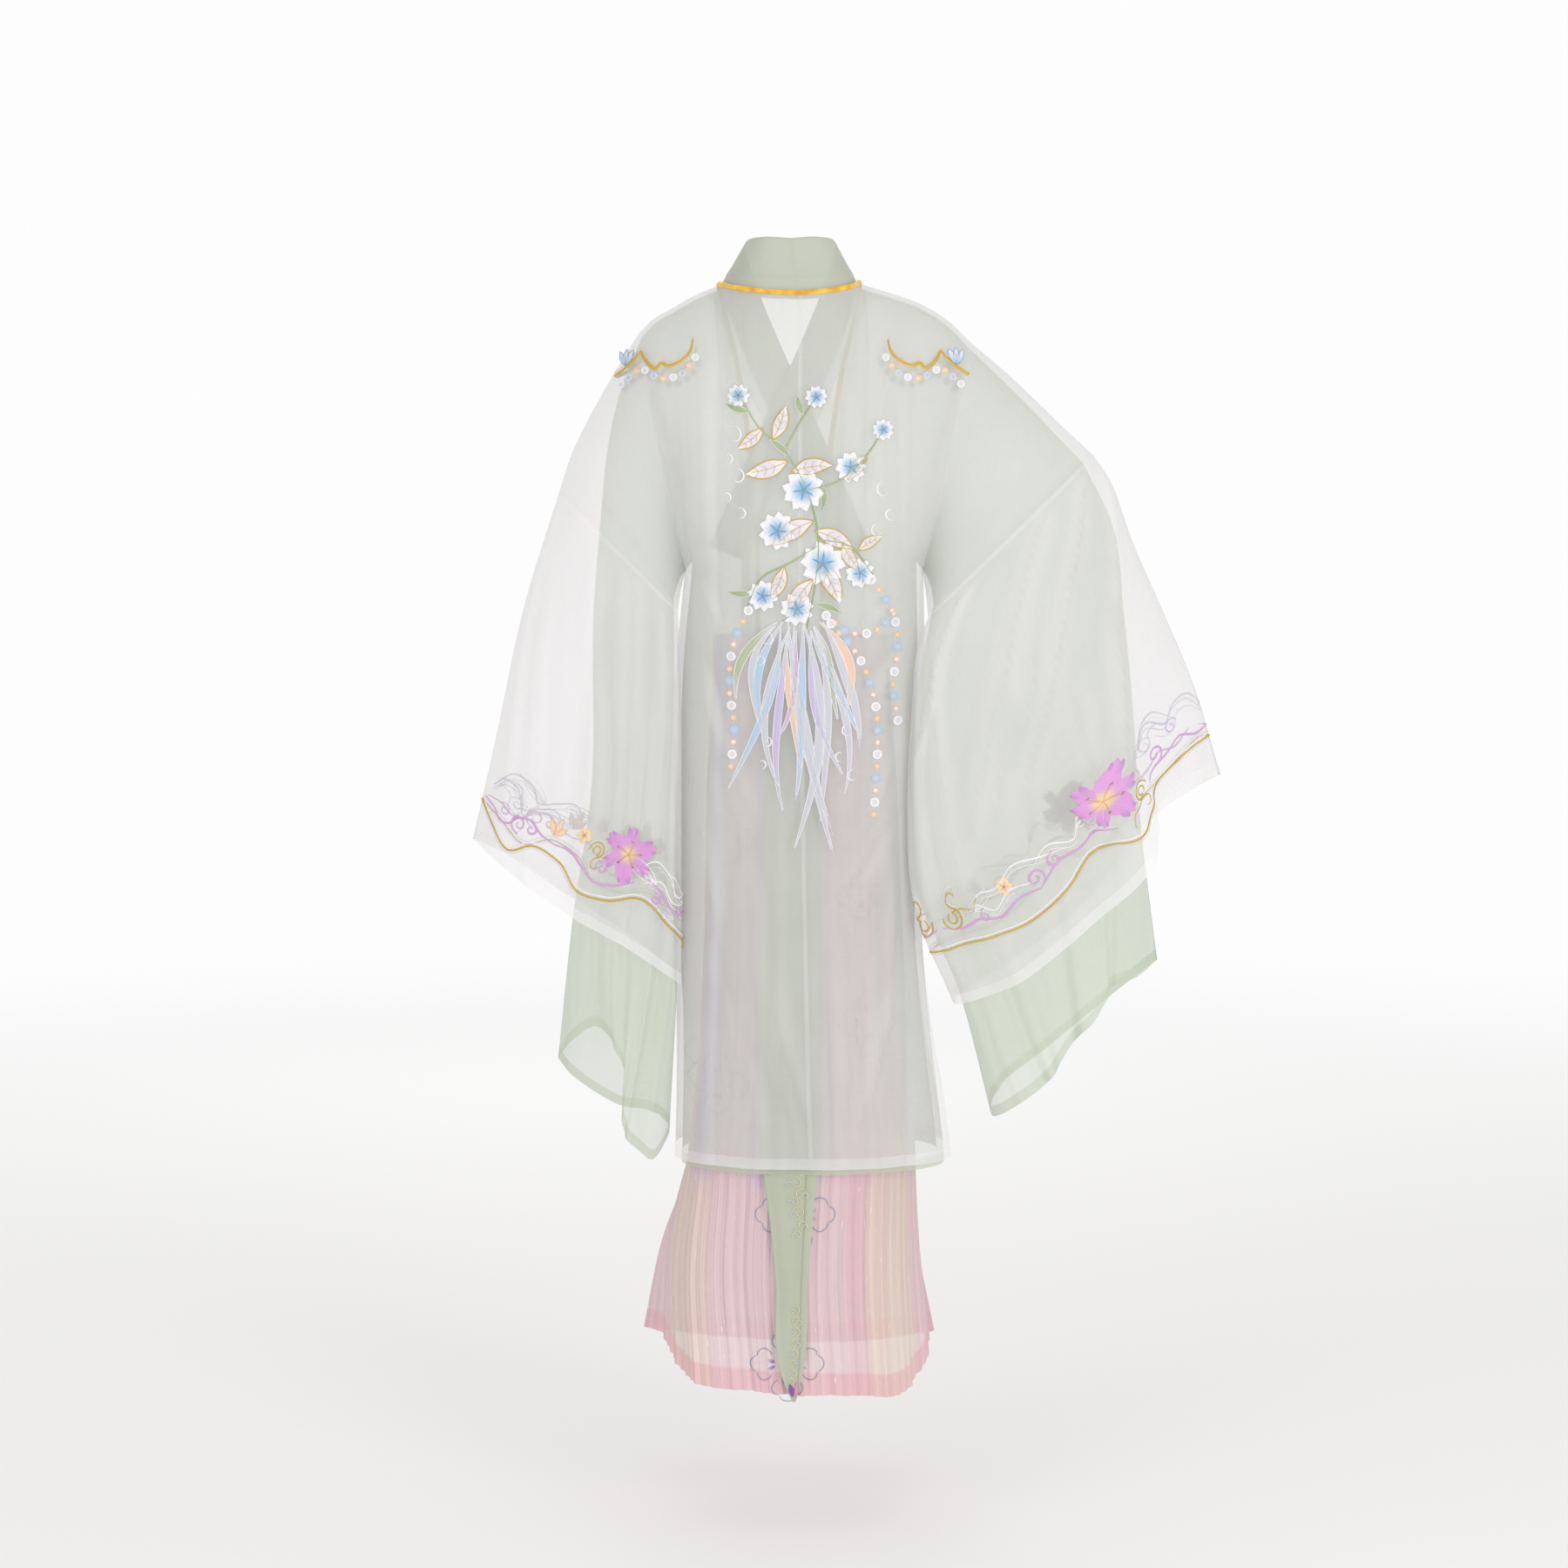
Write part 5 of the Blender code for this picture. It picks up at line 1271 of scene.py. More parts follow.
STITCH_LIFT = 0.45 * MM  # how far a stroke's edges lie off the cloth
SLOPE_REACH = 3 * MM  # how far each way a surface's slope is measured
WHITE_SILK = dye(247, 245, 246)
PEARL = dye(228, 222, 232)
MIST_SILK = dye(208, 208, 218)
SKY_SILK = dye(178, 208, 234)
BLUE_SILK = dye(108, 166, 212)
LAVENDER_SILK = dye(204, 190, 228)
LILAC_SILK = dye(216, 166, 218)
MAGENTA_SILK = dye(206, 134, 206)
PEACH_SILK = dye(244, 204, 172)
CREAM_SILK = dye(250, 222, 176)
SAGE_SILK = dye(178, 192, 152)
BROWN_SILK = dye(168, 116, 52)
GILT = dye(212, 176, 66)
PETAL = np.array([0.16, 0.62, 0.94, 1.0, 0.86, 0.5, 0.04])  # widths along a round petal
LEAF = np.array([0.06, 0.55, 0.92, 1.0, 0.85, 0.52, 0.04])
LOBE_WIDTH = 0.363  # of a blossom's size

# Rows of stitches: a wave along the strand, leaning by its twist, its troughs painted darker as the shade between
# stitches, with a little unevenness from thread to thread.
STITCH_TURN = 6.2832  # radians for one stitch
STITCH_GROOVE_SHADE = 0.12
THREAD_SHADE = 0.10
GROOVE_SHADE = 0.86  # the brightness painted between two stitches, as their shade
THREAD_SCALE = 900
STITCH_RELIEF = (0.6, 0.0003)
stitching, given, result = effect(
    "rows_of_stitches", {"Threads": "Vector", "Twist": "Float", "Thread": "Float"},
    {"Groove Shade And Tone": "Float", "Height": "Float"},
)
over, up = (add_node(stitching, "SeparateXYZ", {0: given["Threads"]}, axis) for axis in "XY")
turns = (up + over * given["Twist"]) / given["Thread"]
stitch_height = maths("SINE", turns * STITCH_TURN) * 0.5 + 0.5
thread_tone = noise(given["Threads"], THREAD_SCALE, 1)
# The shade between the stitches is painted into the colour, with the threads' own unevenness.
shade = stitch_height * STITCH_GROOVE_SHADE + GROOVE_SHADE + thread_tone * THREAD_SHADE
plug(result, {"Groove Shade And Tone": shade, "Height": stitch_height})


def silk_finish(name, roughness, metallic, twist, thread):
    """Stitched thread: each strand's own colour with painted shade between its stitches, which run across it or
    twist.
    """
    finish, tree, shader = new_material(name)
    colour = add_node(tree, "Attribute", {}, "Color", attribute_name="dye")
    stitches = placed(tree, stitching, {"Threads": threads_of(tree), "Twist": twist, "Thread": thread})
    plug(shader, {
        "Base Color": scaled(colour, stitches["Groove Shade And Tone"]), "Normal": raised(stitches["Height"], *STITCH_RELIEF),
        "Roughness": roughness, "Metallic": metallic, "Sheen Weight": 0.25, "Sheen Roughness": 0.4,
    })
    return finish


satin_stitch = silk_finish("satin_stitch_silk", 0.42, 0.0, 0.35, 0.0009)
gilt_cord = silk_finish("twisted_gilt_cord", 0.36, 0.35, 1.4, 0.0016)


def stroke(line, widths, *shades, rise=0.5, across=5, step=1.6, cord=False):
    """A stroke through the given points: its width and its colour run evenly through the values given.

    It is domed across: rise times one minus the square of the share from its middle to its edge. It returns its
    points on the flat cloth, their heights, colours and UV, and whether it is cord, all in millimetres.
    """
    line = np.array(line, float)
    count = max(4, round(measured(line)[-1] / step))
    middle = along_line(line, count)
    way = unit(np.gradient(middle, axis=0), SMALL)
    aside = np.stack([-way[:, 1], way[:, 0]], axis=1)
    share = np.linspace(0, 1, count + 1)
    widths = np.resize(widths, max(np.size(widths), 2))
    half = through(np.linspace(0, 1, len(widths)), widths, share)[:, None] / 2
    off = np.linspace(-1, 1, across)[None]
    flat = middle[:, None] + aside[:, None] * (half * off)[..., None]
    heights = rise * (1 - off**2) + 0 * half
    shades = np.array(shades if len(shades) > 1 else shades * 2, float)
    stops = np.linspace(0, 1, len(shades))
    colours = np.stack([np.interp(share, stops, channel) for channel in shades.T], axis=1)
    uv = np.stack(np.broadcast_arrays(half * off, measured(middle)[:, None]), axis=-1)
    return flat, heights, np.repeat(colours[:, None], across, axis=1), uv, cord


def strand(line, widths, *shades, **settings):
    """A stroke so narrow that three points across it are enough."""
    return stroke(line, widths, *shades, across=3, **settings)


def moved(strokes, x, z, turn=0.0, size=1.0, flip=1):
    """Strokes drawn round a point, turned by degrees, sized, mirrored where flip is -1, and put at a place."""
    angle = np.radians(turn)
    spin = np.array([[np.cos(angle), np.sin(angle)], [-np.sin(angle), np.cos(angle)]]) * size
    return [
        ((flat * (flip, 1)) @ spin + (x, z), heights * size, colours, uv * size, cord)
        for flat, heights, colours, uv, cord in strokes
    ]


def arc(x, z, radius, start, end, inner=None, count=14):
    """Points of an arc or spiral round a centre, from one angle to another in degrees."""
    angle = np.radians(np.linspace(start, end, count))
    reach = np.linspace(radius, radius if inner is None else inner, count)
    return np.stack([x + reach * np.cos(angle), z + reach * np.sin(angle)], axis=1)


def bent(x, z, length, turn, bend, count=7):
    """Points of a line that starts at a place in a direction, in degrees from straight down, and bends as it goes."""
    share = np.linspace(0, 1, count)
    angle = np.radians(turn + bend * share)
    steps = np.stack([np.sin(angle), -np.cos(angle)], axis=1) * length / (count - 1)
    return np.array([x, z]) + np.concatenate([[(0, 0)], np.cumsum(steps[:-1], axis=0)])


def edged(line, widths, *shades, edge, edge_width=1.1, cord=False, rise=0.5):
    """A filled stroke with a raised outline down both its sides."""
    body = stroke(line, widths, *shades, rise=rise)
    sides = (side[:: max(1, len(side) // 9)] for side in (body[0][:, 0], body[0][:, -1]))
    return [body] + [strand(side, edge_width, edge, rise=0.8, cord=cord) for side in sides]


def bead_ring(x, z, size, outer, heart):
    """A stitched ring round a small filled disc."""
    down = [(x, z - size * 0.26), (x, z), (x, z + size * 0.26)]
    return [
        strand(arc(x, z, size * 0.40, 0, 360), size * 0.22, outer, rise=0.6, step=size / 8),
        strand(down, size * 0.6 * np.array([0.5, 1, 0.5]), heart, rise=0.35, step=size / 8),
    ]


def blossom(size, count, first, last, heart):
    """A flower of notched round petals about its heart, with a ring of knots in the middle."""
    strokes = []
    for number in range(count):
        turn = 360 * number / count
        for lobe in (-1, 1):
            line = bent(0, 0, size * 0.5, turn + lobe * 9, lobe * 26)
            strokes += edged(
                line, PETAL * size * LOBE_WIDTH, heart, first, last, last, edge=MIST_SILK, edge_width=0.6, rise=0.6
            )
        strokes.append(strand(bent(0, 0, size * 0.26, turn, 0), LEAF * size * 0.10, heart, rise=1.1))
    for knot in arc(0, 0, size * 0.09, 0, 300, count=5):
        line = [knot - (0, 0.9), knot, knot + (0, 0.9)]
        strokes.append(strand(line, [0.6, 1.8, 0.6], CREAM_SILK, rise=1.6, step=0.5))
    return strokes


def needlework(name, strokes, lay):
    """The strokes as one mesh on the worn cloth. lay gives the place and the normal for places on the flat cloth."""
    points, quads, uvs, colours, cords, outwards = [], [], [], [], [], []
    start = 0
    for flat, heights, shades, uv, cord in strokes:
        place, normal = lay(flat * MM)
        grid = place + normal * (STITCH_LIFT + heights * MM)[..., None]
        quads.append(squares(*grid.shape[:2], start))
        points.append(grid.reshape(-1, 3))
        outwards.append(normal.reshape(-1, 3))
        uvs.append(uv.reshape(-1, 2) * MM)
        colours.append(shades.reshape(-1, 3))
        cords.append(np.full(len(quads[-1]), cord, int))
        start += len(points[-1])
    points, quads, outwards = np.concatenate(points), np.concatenate(quads), np.concatenate(outwards)
    facing = (crossed(points, quads) * outwards[quads[:, 0]]).sum(axis=1)
    quads = np.where(facing[:, None] > 0, quads, quads[:, ::-1])
    colours = np.concatenate([np.concatenate(colours), np.ones((len(points), 1))], 1)
    uvs = np.concatenate(uvs)[quads]
    piece = add_piece(name, points, quads, uvs, {"dye": colours}, [satin_stitch, gilt_cord])
    piece.data.polygons.foreach_set("material_index", np.concatenate(cords))
    return piece


def lay_on_map(lines, heights, widths, way):
    """How strokes given by x and z lie on the surface that the lines run down: way is 1 behind and -1 in front."""
    depths = depth_map(lines, heights, widths)

    def lay(flat):
        """Each point's place, its depth read from the map, and its normal from the depths a step away each way."""
        x, z = flat[..., 0], flat[..., 1]
        reach = SLOPE_REACH
        read = [
            read_map(depths, heights, widths, x + dx, z + dz)
            for dx, dz in ((0, 0), (reach, 0), (-reach, 0), (0, reach), (0, -reach))
        ]
        slope_x, slope_z = (read[1] - read[2]) / (2 * reach), (read[3] - read[4]) / (2 * reach)
        normal = np.stack([-slope_x * way, np.full_like(x, way), -slope_z * way], axis=-1)
        return np.stack([x, read[0], z], axis=-1), unit(normal)

    return lay


# The back and the front of the outer robe as depths, from the lines that run down its two halves.
ROBE_Z = np.linspace(-4 * MM, BODY["z"][-1], 280)
ROBE_X = np.linspace(-390 * MM, 300 * MM, 320)


def robe_lines(side, behind):
    """Lines down one half of the robe, from its middle to the sleeve seam."""
    grids = [each[0] for each in outer_halves[side][0]]
    upper, lower, stub = grids[0 if behind else 1 :: 2]
    down = np.concatenate([upper, lower[1:]]).transpose(1, 0, 2)
    top_first = stub if stub[0, 0, 2] > stub[-1, 0, 2] else stub[::-1]
    out = top_first.transpose(1, 0, 2)
    out = out if np.abs(out[0, 0, 0]) < np.abs(out[-1, 0, 0]) else out[::-1]
    return list(down) + list(out[1:])


back_lines = robe_lines(RIGHT, True)[::-1] + robe_lines(LEFT, True)[1:]
lay_behind = lay_on_map(back_lines, ROBE_Z, ROBE_X, 1)
front_lines = robe_lines(RIGHT, False)[::-1] + robe_lines(LEFT, False)
lay_before = lay_on_map(front_lines, ROBE_Z, ROBE_X, -1)

# The cuff borders: a gilt cord in slow waves round each outer cuff with a white thread beside it, a tapering
# lilac band above it that curls into spirals, and lilies, small blossoms and leaves set along it.

CUFF_STEP = 2 * MM
CUFF_REACH = 170 * MM
LEAN_ROWS = 30  # how many steps above the hem its lines' lean is measured
LEAN_WINDOW = 45  # how many steps the lean is evened out over
ORCHID_SILK = dye(226, 158, 220)
# The lines that follow the hem: how far each lies off its waves, its width, colour and rise, and whether it is cord.
HEM_CORDS = ((0, 2.6, GILT, 1.2, True), (4.2, 1.6, WHITE_SILK, 0.5, False), (-3.4, 0.8, PEARL, 0.4, False))


def lay_on_cuff(grid):
    """How strokes lie on a cuff, given by their distance along its hem from the top fold and square up from it.

    The sleeve's lines lean on its hem, so a stroke slides along the hem as it goes up, by as much as they lean.
    Returns the function and the hem's whole length in mm.
    """
    up = np.arange(0, CUFF_REACH, CUFF_STEP)
    above = lengths(grid[::-1], 0)
    columns = [
        np.stack([np.interp(up, above[:, number], grid[::-1, number, axis]) for axis in range(3)], axis=1)
        for number in range(grid.shape[1])
    ]
    border = np.stack(columns, axis=1)
    run = lengths(border[:1], 1)[0]
    even = np.arange(0, run[-1], CUFF_STEP)
    places = np.interp(even, run, np.arange(len(run)))
    first = np.clip(places.astype(int), 0, len(run) - 2)
    share = (places - first)[None, :, None]
    border = border[:, first] * (1 - share) + border[:, first + 1] * share
    outward = normals(border)
    along = unit(np.roll(border[0], -1, axis=0) - np.roll(border[0], 1, axis=0))
    lean = (along * unit(border[LEAN_ROWS] - border[0])).sum(axis=1)
    window = np.hanning(LEAN_WINDOW) / np.hanning(LEAN_WINDOW).sum()
    ends = LEAN_WINDOW - 1
    lean = np.convolve(np.concatenate([lean[-ends:], lean, lean[:ends]]), window, "same")[ends:-ends]

    def read(table, u, v):
        """The table's value along the hem and up from it: the mean of its four nearest, weighted by nearness."""
        at_u, at_v = u / CUFF_STEP % len(even), np.clip(v / CUFF_STEP, 0, len(up) - PAST_LAST)
        column, row = at_u.astype(int) % len(even), at_v.astype(int)
        on_u, on_v = (at_u - np.floor(at_u))[..., None], (at_v - row)[..., None]
        low = table[row, column] * (1 - on_u) + table[row, (column + 1) % len(even)] * on_u
        high = table[row + 1, column] * (1 - on_u) + table[row + 1, (column + 1) % len(even)] * on_u
        return low * (1 - on_v) + high * on_v

    def lay(flat):
        """Each point's place and normal: as far up the leaning lines as makes its height square to the hem."""
        u, v = flat[..., 0], flat[..., 1]
        leans = read(np.stack([lean, lean])[..., None], u, 0 * v)[..., 0]
        square = np.sqrt(1 - leans**2)
        place = read(border, u - v * leans / square, v / square)
        return place, unit(read(outward, u - v * leans / square, v / square))

    return lay, run[-1] / MM


def lily(turn):
    """Six pointed petals, three broad over three narrow, peach at the heart, with veins and gilt stamens."""
    shades = (CREAM_SILK, PEACH_SILK, LILAC_SILK, ORCHID_SILK, ORCHID_SILK, ORCHID_SILK, LILAC_SILK)
    strokes = []
    for number in (1, 3, 5, 0, 2, 4):
        length, width, rise = (40, 23, 1.0) if number % 2 == 0 else (36, 17, 0.6)
        angle = turn + 60 * number
        line = bent(0, 0, length, angle - 7, 16)
        strokes.append(stroke(line, PETAL * width, *shades, rise=rise, across=7))
        for side in (-1, 1):
            notch = bent(*bent(0, 0, length * 0.55, angle, 4)[-1], length * 0.42, angle + side * 30, -side * 16)
            strokes.append(stroke(notch, LEAF * width * 0.42, LILAC_SILK, MAGENTA_SILK, rise=0.9))
        strokes.append(strand(line[1:6], [1.4, 0.5], PEACH_SILK, PEARL, rise=1.6))
    for number in range(5):
        line = bent(0, 0, 17, turn + 20 + 72 * number, 26)
        strokes.append(strand(line, 1.1, GILT, rise=2.0, cord=True))
        end = [line[-1] - (1.6, 0), line[-1], line[-1] + (1.6, 0)]
        strokes.append(strand(end, [0.6, 2.2, 0.6], BROWN_SILK, rise=2.2, step=0.8))
    return strokes


def small_blossom():
    """Five round peach petals with a brown and gold heart."""
    strokes = []
    for number in range(5):
        line = bent(0, 0, 12, 72 * number, 0)
        strokes.append(stroke(line, PETAL * 8.5, PEACH_SILK, CREAM_SILK, PEACH_SILK, rise=0.7, step=1.2))
        strokes.append(strand(line[:4], [0.9, 0.5], BROWN_SILK, rise=1.2))
    return strokes + bead_ring(0, 0, 5, BROWN_SILK, CREAM_SILK)


def peach_leaves():
    """Three pointed peach leaves from one root."""
    strokes = []
    for turn, length in ((-150, 21), (-186, 25), (-222, 19)):
        strokes += edged(
            bent(0, 0, length, turn, 12), LEAF * 7, PEACH_SILK, CREAM_SILK, edge=PEACH_SILK, edge_width=0.8
        )
    return strokes


def gilt_scroll():
    """An open double scroll in gilt cord with a thin white thread round it."""
    first = np.concatenate([arc(0, 0, 14, 200, -70, 12), arc(10, -21, 11, 120, 350, 5)])
    second = np.concatenate([arc(0, 0, 7, 250, -60, 6), [(17, -5), (34, 3), (52, -3)]])
    return [
        strand(first, [1.8, 2.4, 1.4], GILT, rise=0.9, cord=True),
        strand(second, [2.0, 1.8, 0.9], GILT, rise=0.9, cord=True),
        strand(first * 1.22, 0.9, WHITE_SILK),
    ]


def spiral(radius, turns=1.4, shade=LILAC_SILK, width=3.0):
    """A spiral that winds in to a sixth of its radius, swelling and fading as it goes."""
    line = arc(0, 0, radius, 90, 90 - 360 * turns, radius * 0.16, count=26)
    return [stroke(line, [width * 0.4, width, 0.8], shade, rise=0.7)]


def leaf_outlines(size, shade=WHITE_SILK):
    """Two long leaves drawn in outline, a vein in each."""
    strokes = []
    for turn, bend, length in ((-108, 34, size), (-78, -30, size * 0.8)):
        for side in (-1, 1):
            line = bent(0, 0, length * 1.02, turn + side * 22, bend - side * 42)
            strokes.append(strand(line, [1.5, 1.2, 0.6], shade, rise=0.6))
        strokes.append(strand(bent(0, 0, length, turn, bend)[:-1], [0.9, 0.4], shade))
    return strokes


def tendril(*line, width=3.0):
    """A lilac stem that swells and fades along its way."""
    return [stroke(line, [width * 0.45, width, width * 0.75, width, width * 0.4], LILAC_SILK, rise=0.7)]


def flowing(*line, shade=WHITE_SILK):
    """A long thin line that runs along the border, with a finer one beside it."""
    return [
        stroke(line, [0.8, 2.4, 1.8, 2.2, 0.6], shade, rise=0.6),
        strand(np.array(line, float) + (3, -6), [0.4, 1.1, 0.4], shade),
    ]


def pearl_line(*line):
    """A thin pearl line."""
    return [stroke(line, [1.2, 2.0, 0.8], PEARL)]


def on_half(start, flip, drawn, u=0, v=0, turn=0, size=1.0):
    """A motif on the half of a border that begins at start, mirrored where flip is -1."""
    return moved(drawn, start + flip * u, v, turn * flip, size, flip)


def cuff_border(side, word, gold, motifs):
    """The embroidery of one cuff: each half of the hem has the same line of waves and the same motifs, mirrored."""
    lay, total = lay_on_cuff(outer_sleeves[side])
    gold = np.array(gold, float)
    gold[-1, 0] = total / 2
    half_line = along_line(gold, 120)
    way = unit(np.gradient(half_line, axis=0))
    strokes = []
    for lift, width, shade, rise, cord in HEM_CORDS:
        line = half_line + np.stack([-way[:, 1], way[:, 0]], axis=1) * lift
        line[0, 0], line[-1, 0] = 0, total / 2
        loop = np.concatenate([line, (line * (-1, 1) + (total, 0))[::-1][1:]])
        strokes.append(stroke(loop, width, shade, rise=rise, cord=cord, across=5 if cord else 3, step=2.2))
    for flip, start in ((1, 0.0), (-1, total)):
        for motif in motifs:
            strokes += on_half(start, flip, *motif)
    return needlework(f"{word}_cuff_border", strokes, lay)


left_border = cuff_border(
    LEFT, "left",
    [(0, 54), (28, 38), (66, 23), (98, 50), (134, 50), (176, 33), (214, 40), (254, 64), (300, 54), (357, 46)],
    [
        (tendril((6, 62), (24, 58), (38, 50), (50, 52), (62, 68), (78, 76), (96, 68), (118, 66)),),
        (tendril((118, 66), (140, 70), (166, 62), (190, 54), (214, 62), (236, 78), width=3.2),),
        (tendril((250, 92), (272, 86), (296, 74), (322, 80), (352, 78)),),
        (pearl_line((14, 78), (26, 92), (40, 88), (44, 74), (56, 70), (64, 80)),),
        (spiral(13), 66, 62, 200), (spiral(8, 1.2), 84, 66, 20), (spiral(10), 190, 74, 120),
        (spiral(9, 1.3, LAVENDER_SILK, 2.0), 40, 66, 60), (spiral(8, 1.3), 268, 74, 20),
        (leaf_outlines(44), 70, 84, -30), (leaf_outlines(38, PEARL), 128, 98, 10),
        (leaf_outlines(50), 262, 92, -8), (leaf_outlines(34, PEARL), 300, 66, 6),
        (flowing((14, 84), (28, 102), (50, 98), (62, 82), (80, 94), (100, 104), (118, 90), shade=MIST_SILK),),
        (flowing((232, 92), (252, 118), (276, 112), (292, 94), (318, 108), (350, 98)),),
        (flowing((246, 82), (268, 98), (290, 84), (318, 92), (350, 86)),),
        (peach_leaves(), 112, 76), (small_blossom(), 146, 98, 12, 0.95),
        (gilt_scroll(), 172, 90, 0, 0.8), (lily(14), 214, 106),
    ],
)
right_border = cuff_border(
    RIGHT, "right",
    [(0, 60), (44, 46), (100, 33), (148, 27), (192, 30), (230, 60), (272, 73), (326, 57), (384, 55), (440, 68),
     (492, 75), (517, 75)],
    [
        (tendril((6, 76), (34, 64), (60, 70), (84, 58), (108, 52), (132, 50), width=3.4),),
        (tendril((196, 62), (220, 84), (250, 92), (284, 88), (316, 92), (350, 80), width=3.4),),
        (tendril((350, 80), (380, 88), (414, 84), (452, 98), (490, 96), (514, 104), width=3.8),),
        (pearl_line((20, 92), (40, 104), (60, 100), (66, 84), (82, 80), (98, 88)),),
        (spiral(13), 104, 66, 200), (spiral(10, 1.3), 318, 98, 20), (spiral(12), 348, 94, 160),
        (spiral(11, 1.3, LAVENDER_SILK, 2.0), 72, 88, 60), (spiral(9, 1.3), 438, 98, 20),
        (leaf_outlines(54), 268, 112, -12), (leaf_outlines(44, PEARL), 224, 104, 20),
        (leaf_outlines(52), 452, 110, -8), (leaf_outlines(36, PEARL), 398, 96, 6),
        (flowing((14, 98), (38, 120), (64, 114), (80, 96), (106, 112), (138, 98), shade=MIST_SILK),),
        (flowing((204, 88), (230, 116), (258, 120), (284, 102), (318, 118), (350, 104)),),
        (flowing((352, 92), (384, 104), (416, 96), (446, 116), (472, 108)),),
        (flowing((300, 100), (330, 112), (362, 126), (396, 118), (430, 126), (462, 118)),),
        (small_blossom(), 386, 112, 12, 1.1), (gilt_scroll(), 150, 60, -20, 0.8),
        (gilt_scroll(), 494, 112, 172, 1.1), (lily(-6), 176, 96, 0, 0.98),
    ],
)

# The shoulder scallops: gilt cord drawn in two hanging curves to a point over each shoulder, behind and in
# front, with a row of stitched rings below.

SHOULDER_RISE = 6  # mm
SCALLOPS = [(121, -82), (125, -98), (135, -108), (152, -114), (160, -111), (166, -117), (176, -112), (187, -95)]
SCALLOP_END = [(187, -95), (196, -106), (208, -116), (222, -124)]
RING_LINE = [(118, -104), (134, -124), (160, -130), (186, -118), (212, -136)]
RING_COLOURS = ((WHITE_SILK, PEARL), (PEACH_SILK, CREAM_SILK), (PEARL, SKY_SILK))


def shoulder(side):
    """One shoulder's motif: cord in two scallops with a thread above, rings below, and three leaves at the end."""
    strokes = [stroke(line, [2.0, 4.2, 3.6], GILT, rise=1.2, cord=True) for line in (SCALLOPS, SCALLOP_END)]
    strokes += [
        strand(np.array(line, float) + (0, 4.5), 0.9, PEACH_SILK, rise=0.6) for line in (SCALLOPS, SCALLOP_END)
    ]
    for number, (x, z) in enumerate(along_line(np.array(RING_LINE, float), 9)):
        strokes += bead_ring(x, z, 8.5 if number % 3 else 9.5, *RING_COLOURS[number % 3])
    for turn in (150, 176, 202):
        line = bent(206, -112, 22, turn, 10)
        strokes += edged(line, LEAF * 8, SKY_SILK, WHITE_SILK, edge=BLUE_SILK, edge_width=0.7)
    return moved(strokes, 0, SHOULDER_RISE, 0, 1, side)


# The centre back: a hanging spray of white blossoms with blue hearts and gilt-edged leaves on curving stems,
# long willow leaves below it in pale silks, and strings of stitched rings falling down both sides.

STEMS = (
    [(60, -150), (40, -184), (8, -214), (-20, -262), (-34, -320), (-30, -380), (-20, -432)],
    [(-20, -262), (-56, -252), (-88, -226), (-112, -192)],
    [(-34, -322), (-72, -330), (-102, -366)],
    [(8, -214), (-8, -184), (-30, -150)],
    [(-34, -330), (2, -352), (36, -370), (54, -406)],
)
# Each willow leaf: where it hangs from, its length, way and bend, and its colour.
WILLOW_LEAVES = (
    (-40, 172, -34, 44, MIST_SILK), (-34, 214, -24, 34, MIST_SILK), (-30, 150, -12, -26, SKY_SILK),
    (-36, 128, -44, 58, PEACH_SILK), (-24, 246, -16, 26, MIST_SILK), (-20, 190, -4, -22, LAVENDER_SILK),
    (-14, 226, -6, 20, SKY_SILK), (-8, 270, 2, -24, MIST_SILK), (-2, 178, 10, -30, PEACH_SILK),
    (-18, 286, -12, 30, MIST_SILK), (4, 236, 12, -26, LAVENDER_SILK), (8, 200, 20, -40, MIST_SILK),
    (12, 156, 28, -44, SKY_SILK), (16, 130, 40, -58, MIST_SILK), (-12, 142, 4, 18, LILAC_SILK),
    (0, 300, -2, -20, MIST_SILK), (14, 214, 6, 22, SKY_SILK), (-28, 120, -30, 30, SAGE_SILK),
    (20, 112, 46, -40, SAGE_SILK),
)
WILLOW = np.array([0.8, 3.4, 6.4, 8.6, 9.2, 8.2, 6.0, 3.6, 0.8])  # its widths
WILLOW_TOP = -424
WILLOW_SWAY = 5
# Each leaf: where it grows, its length, way and bend.
GILT_LEAVES = (
    (4, -226, 54, 62, 24), (-2, -240, 50, -112, 30), (-28, -300, 58, 70, -26), (-30, -312, 52, -74, 22),
    (-34, -352, 56, -40, 26), (-28, -372, 50, 46, -22), (22, -200, 44, -150, -20), (-70, -250, 40, -150, 24),
    (34, -186, 40, 40, 24), (8, -356, 44, 12, 24), (-64, -326, 40, -20, -24), (-84, -336, 34, -130, 20),
)
SAGE_LEAVES = (
    (48, -166, 34, 96, 30), (26, -200, 34, -60, 26), (-40, -256, 30, -10, 30), (-96, -214, 28, 20, 30),
    (-98, -352, 30, 30, -26), (46, -388, 30, 80, 26), (-30, -402, 34, -84, 30), (-22, -412, 34, 84, -30),
    (-16, -170, 26, 150, 30),
)
# Each blossom: its place, size and turn.
BLOSSOMS = (
    (-16, -262, 62, 10), (-40, -352, 66, 40), (16, -312, 56, -14), (-74, -234, 46, 30), (-86, -364, 44, 12),
    (34, -392, 46, 48), (-8, -408, 50, 24), (64, -146, 34, 0), (-32, -148, 34, 30), (-114, -188, 32, 18),
)
STRINGS = (
    [(52, -410), (70, -450), (76, -500), (70, -556), (74, -604)],
    [(-100, -372), (-126, -410), (-134, -452), (-128, -500), (-134, -548)],
    [(-50, -426), (-86, -470), (-106, -530), (-108, -596), (-104, -664)],
    [(-44, -416), (-76, -438), (-104, -436), (-128, -414)],
)
STRING_STEP = 15
STRING_COLOURS = (
    (WHITE_SILK, PEARL), (PEACH_SILK, CREAM_SILK), (SKY_SILK, MIST_SILK), (PEACH_SILK, WHITE_SILK)
)
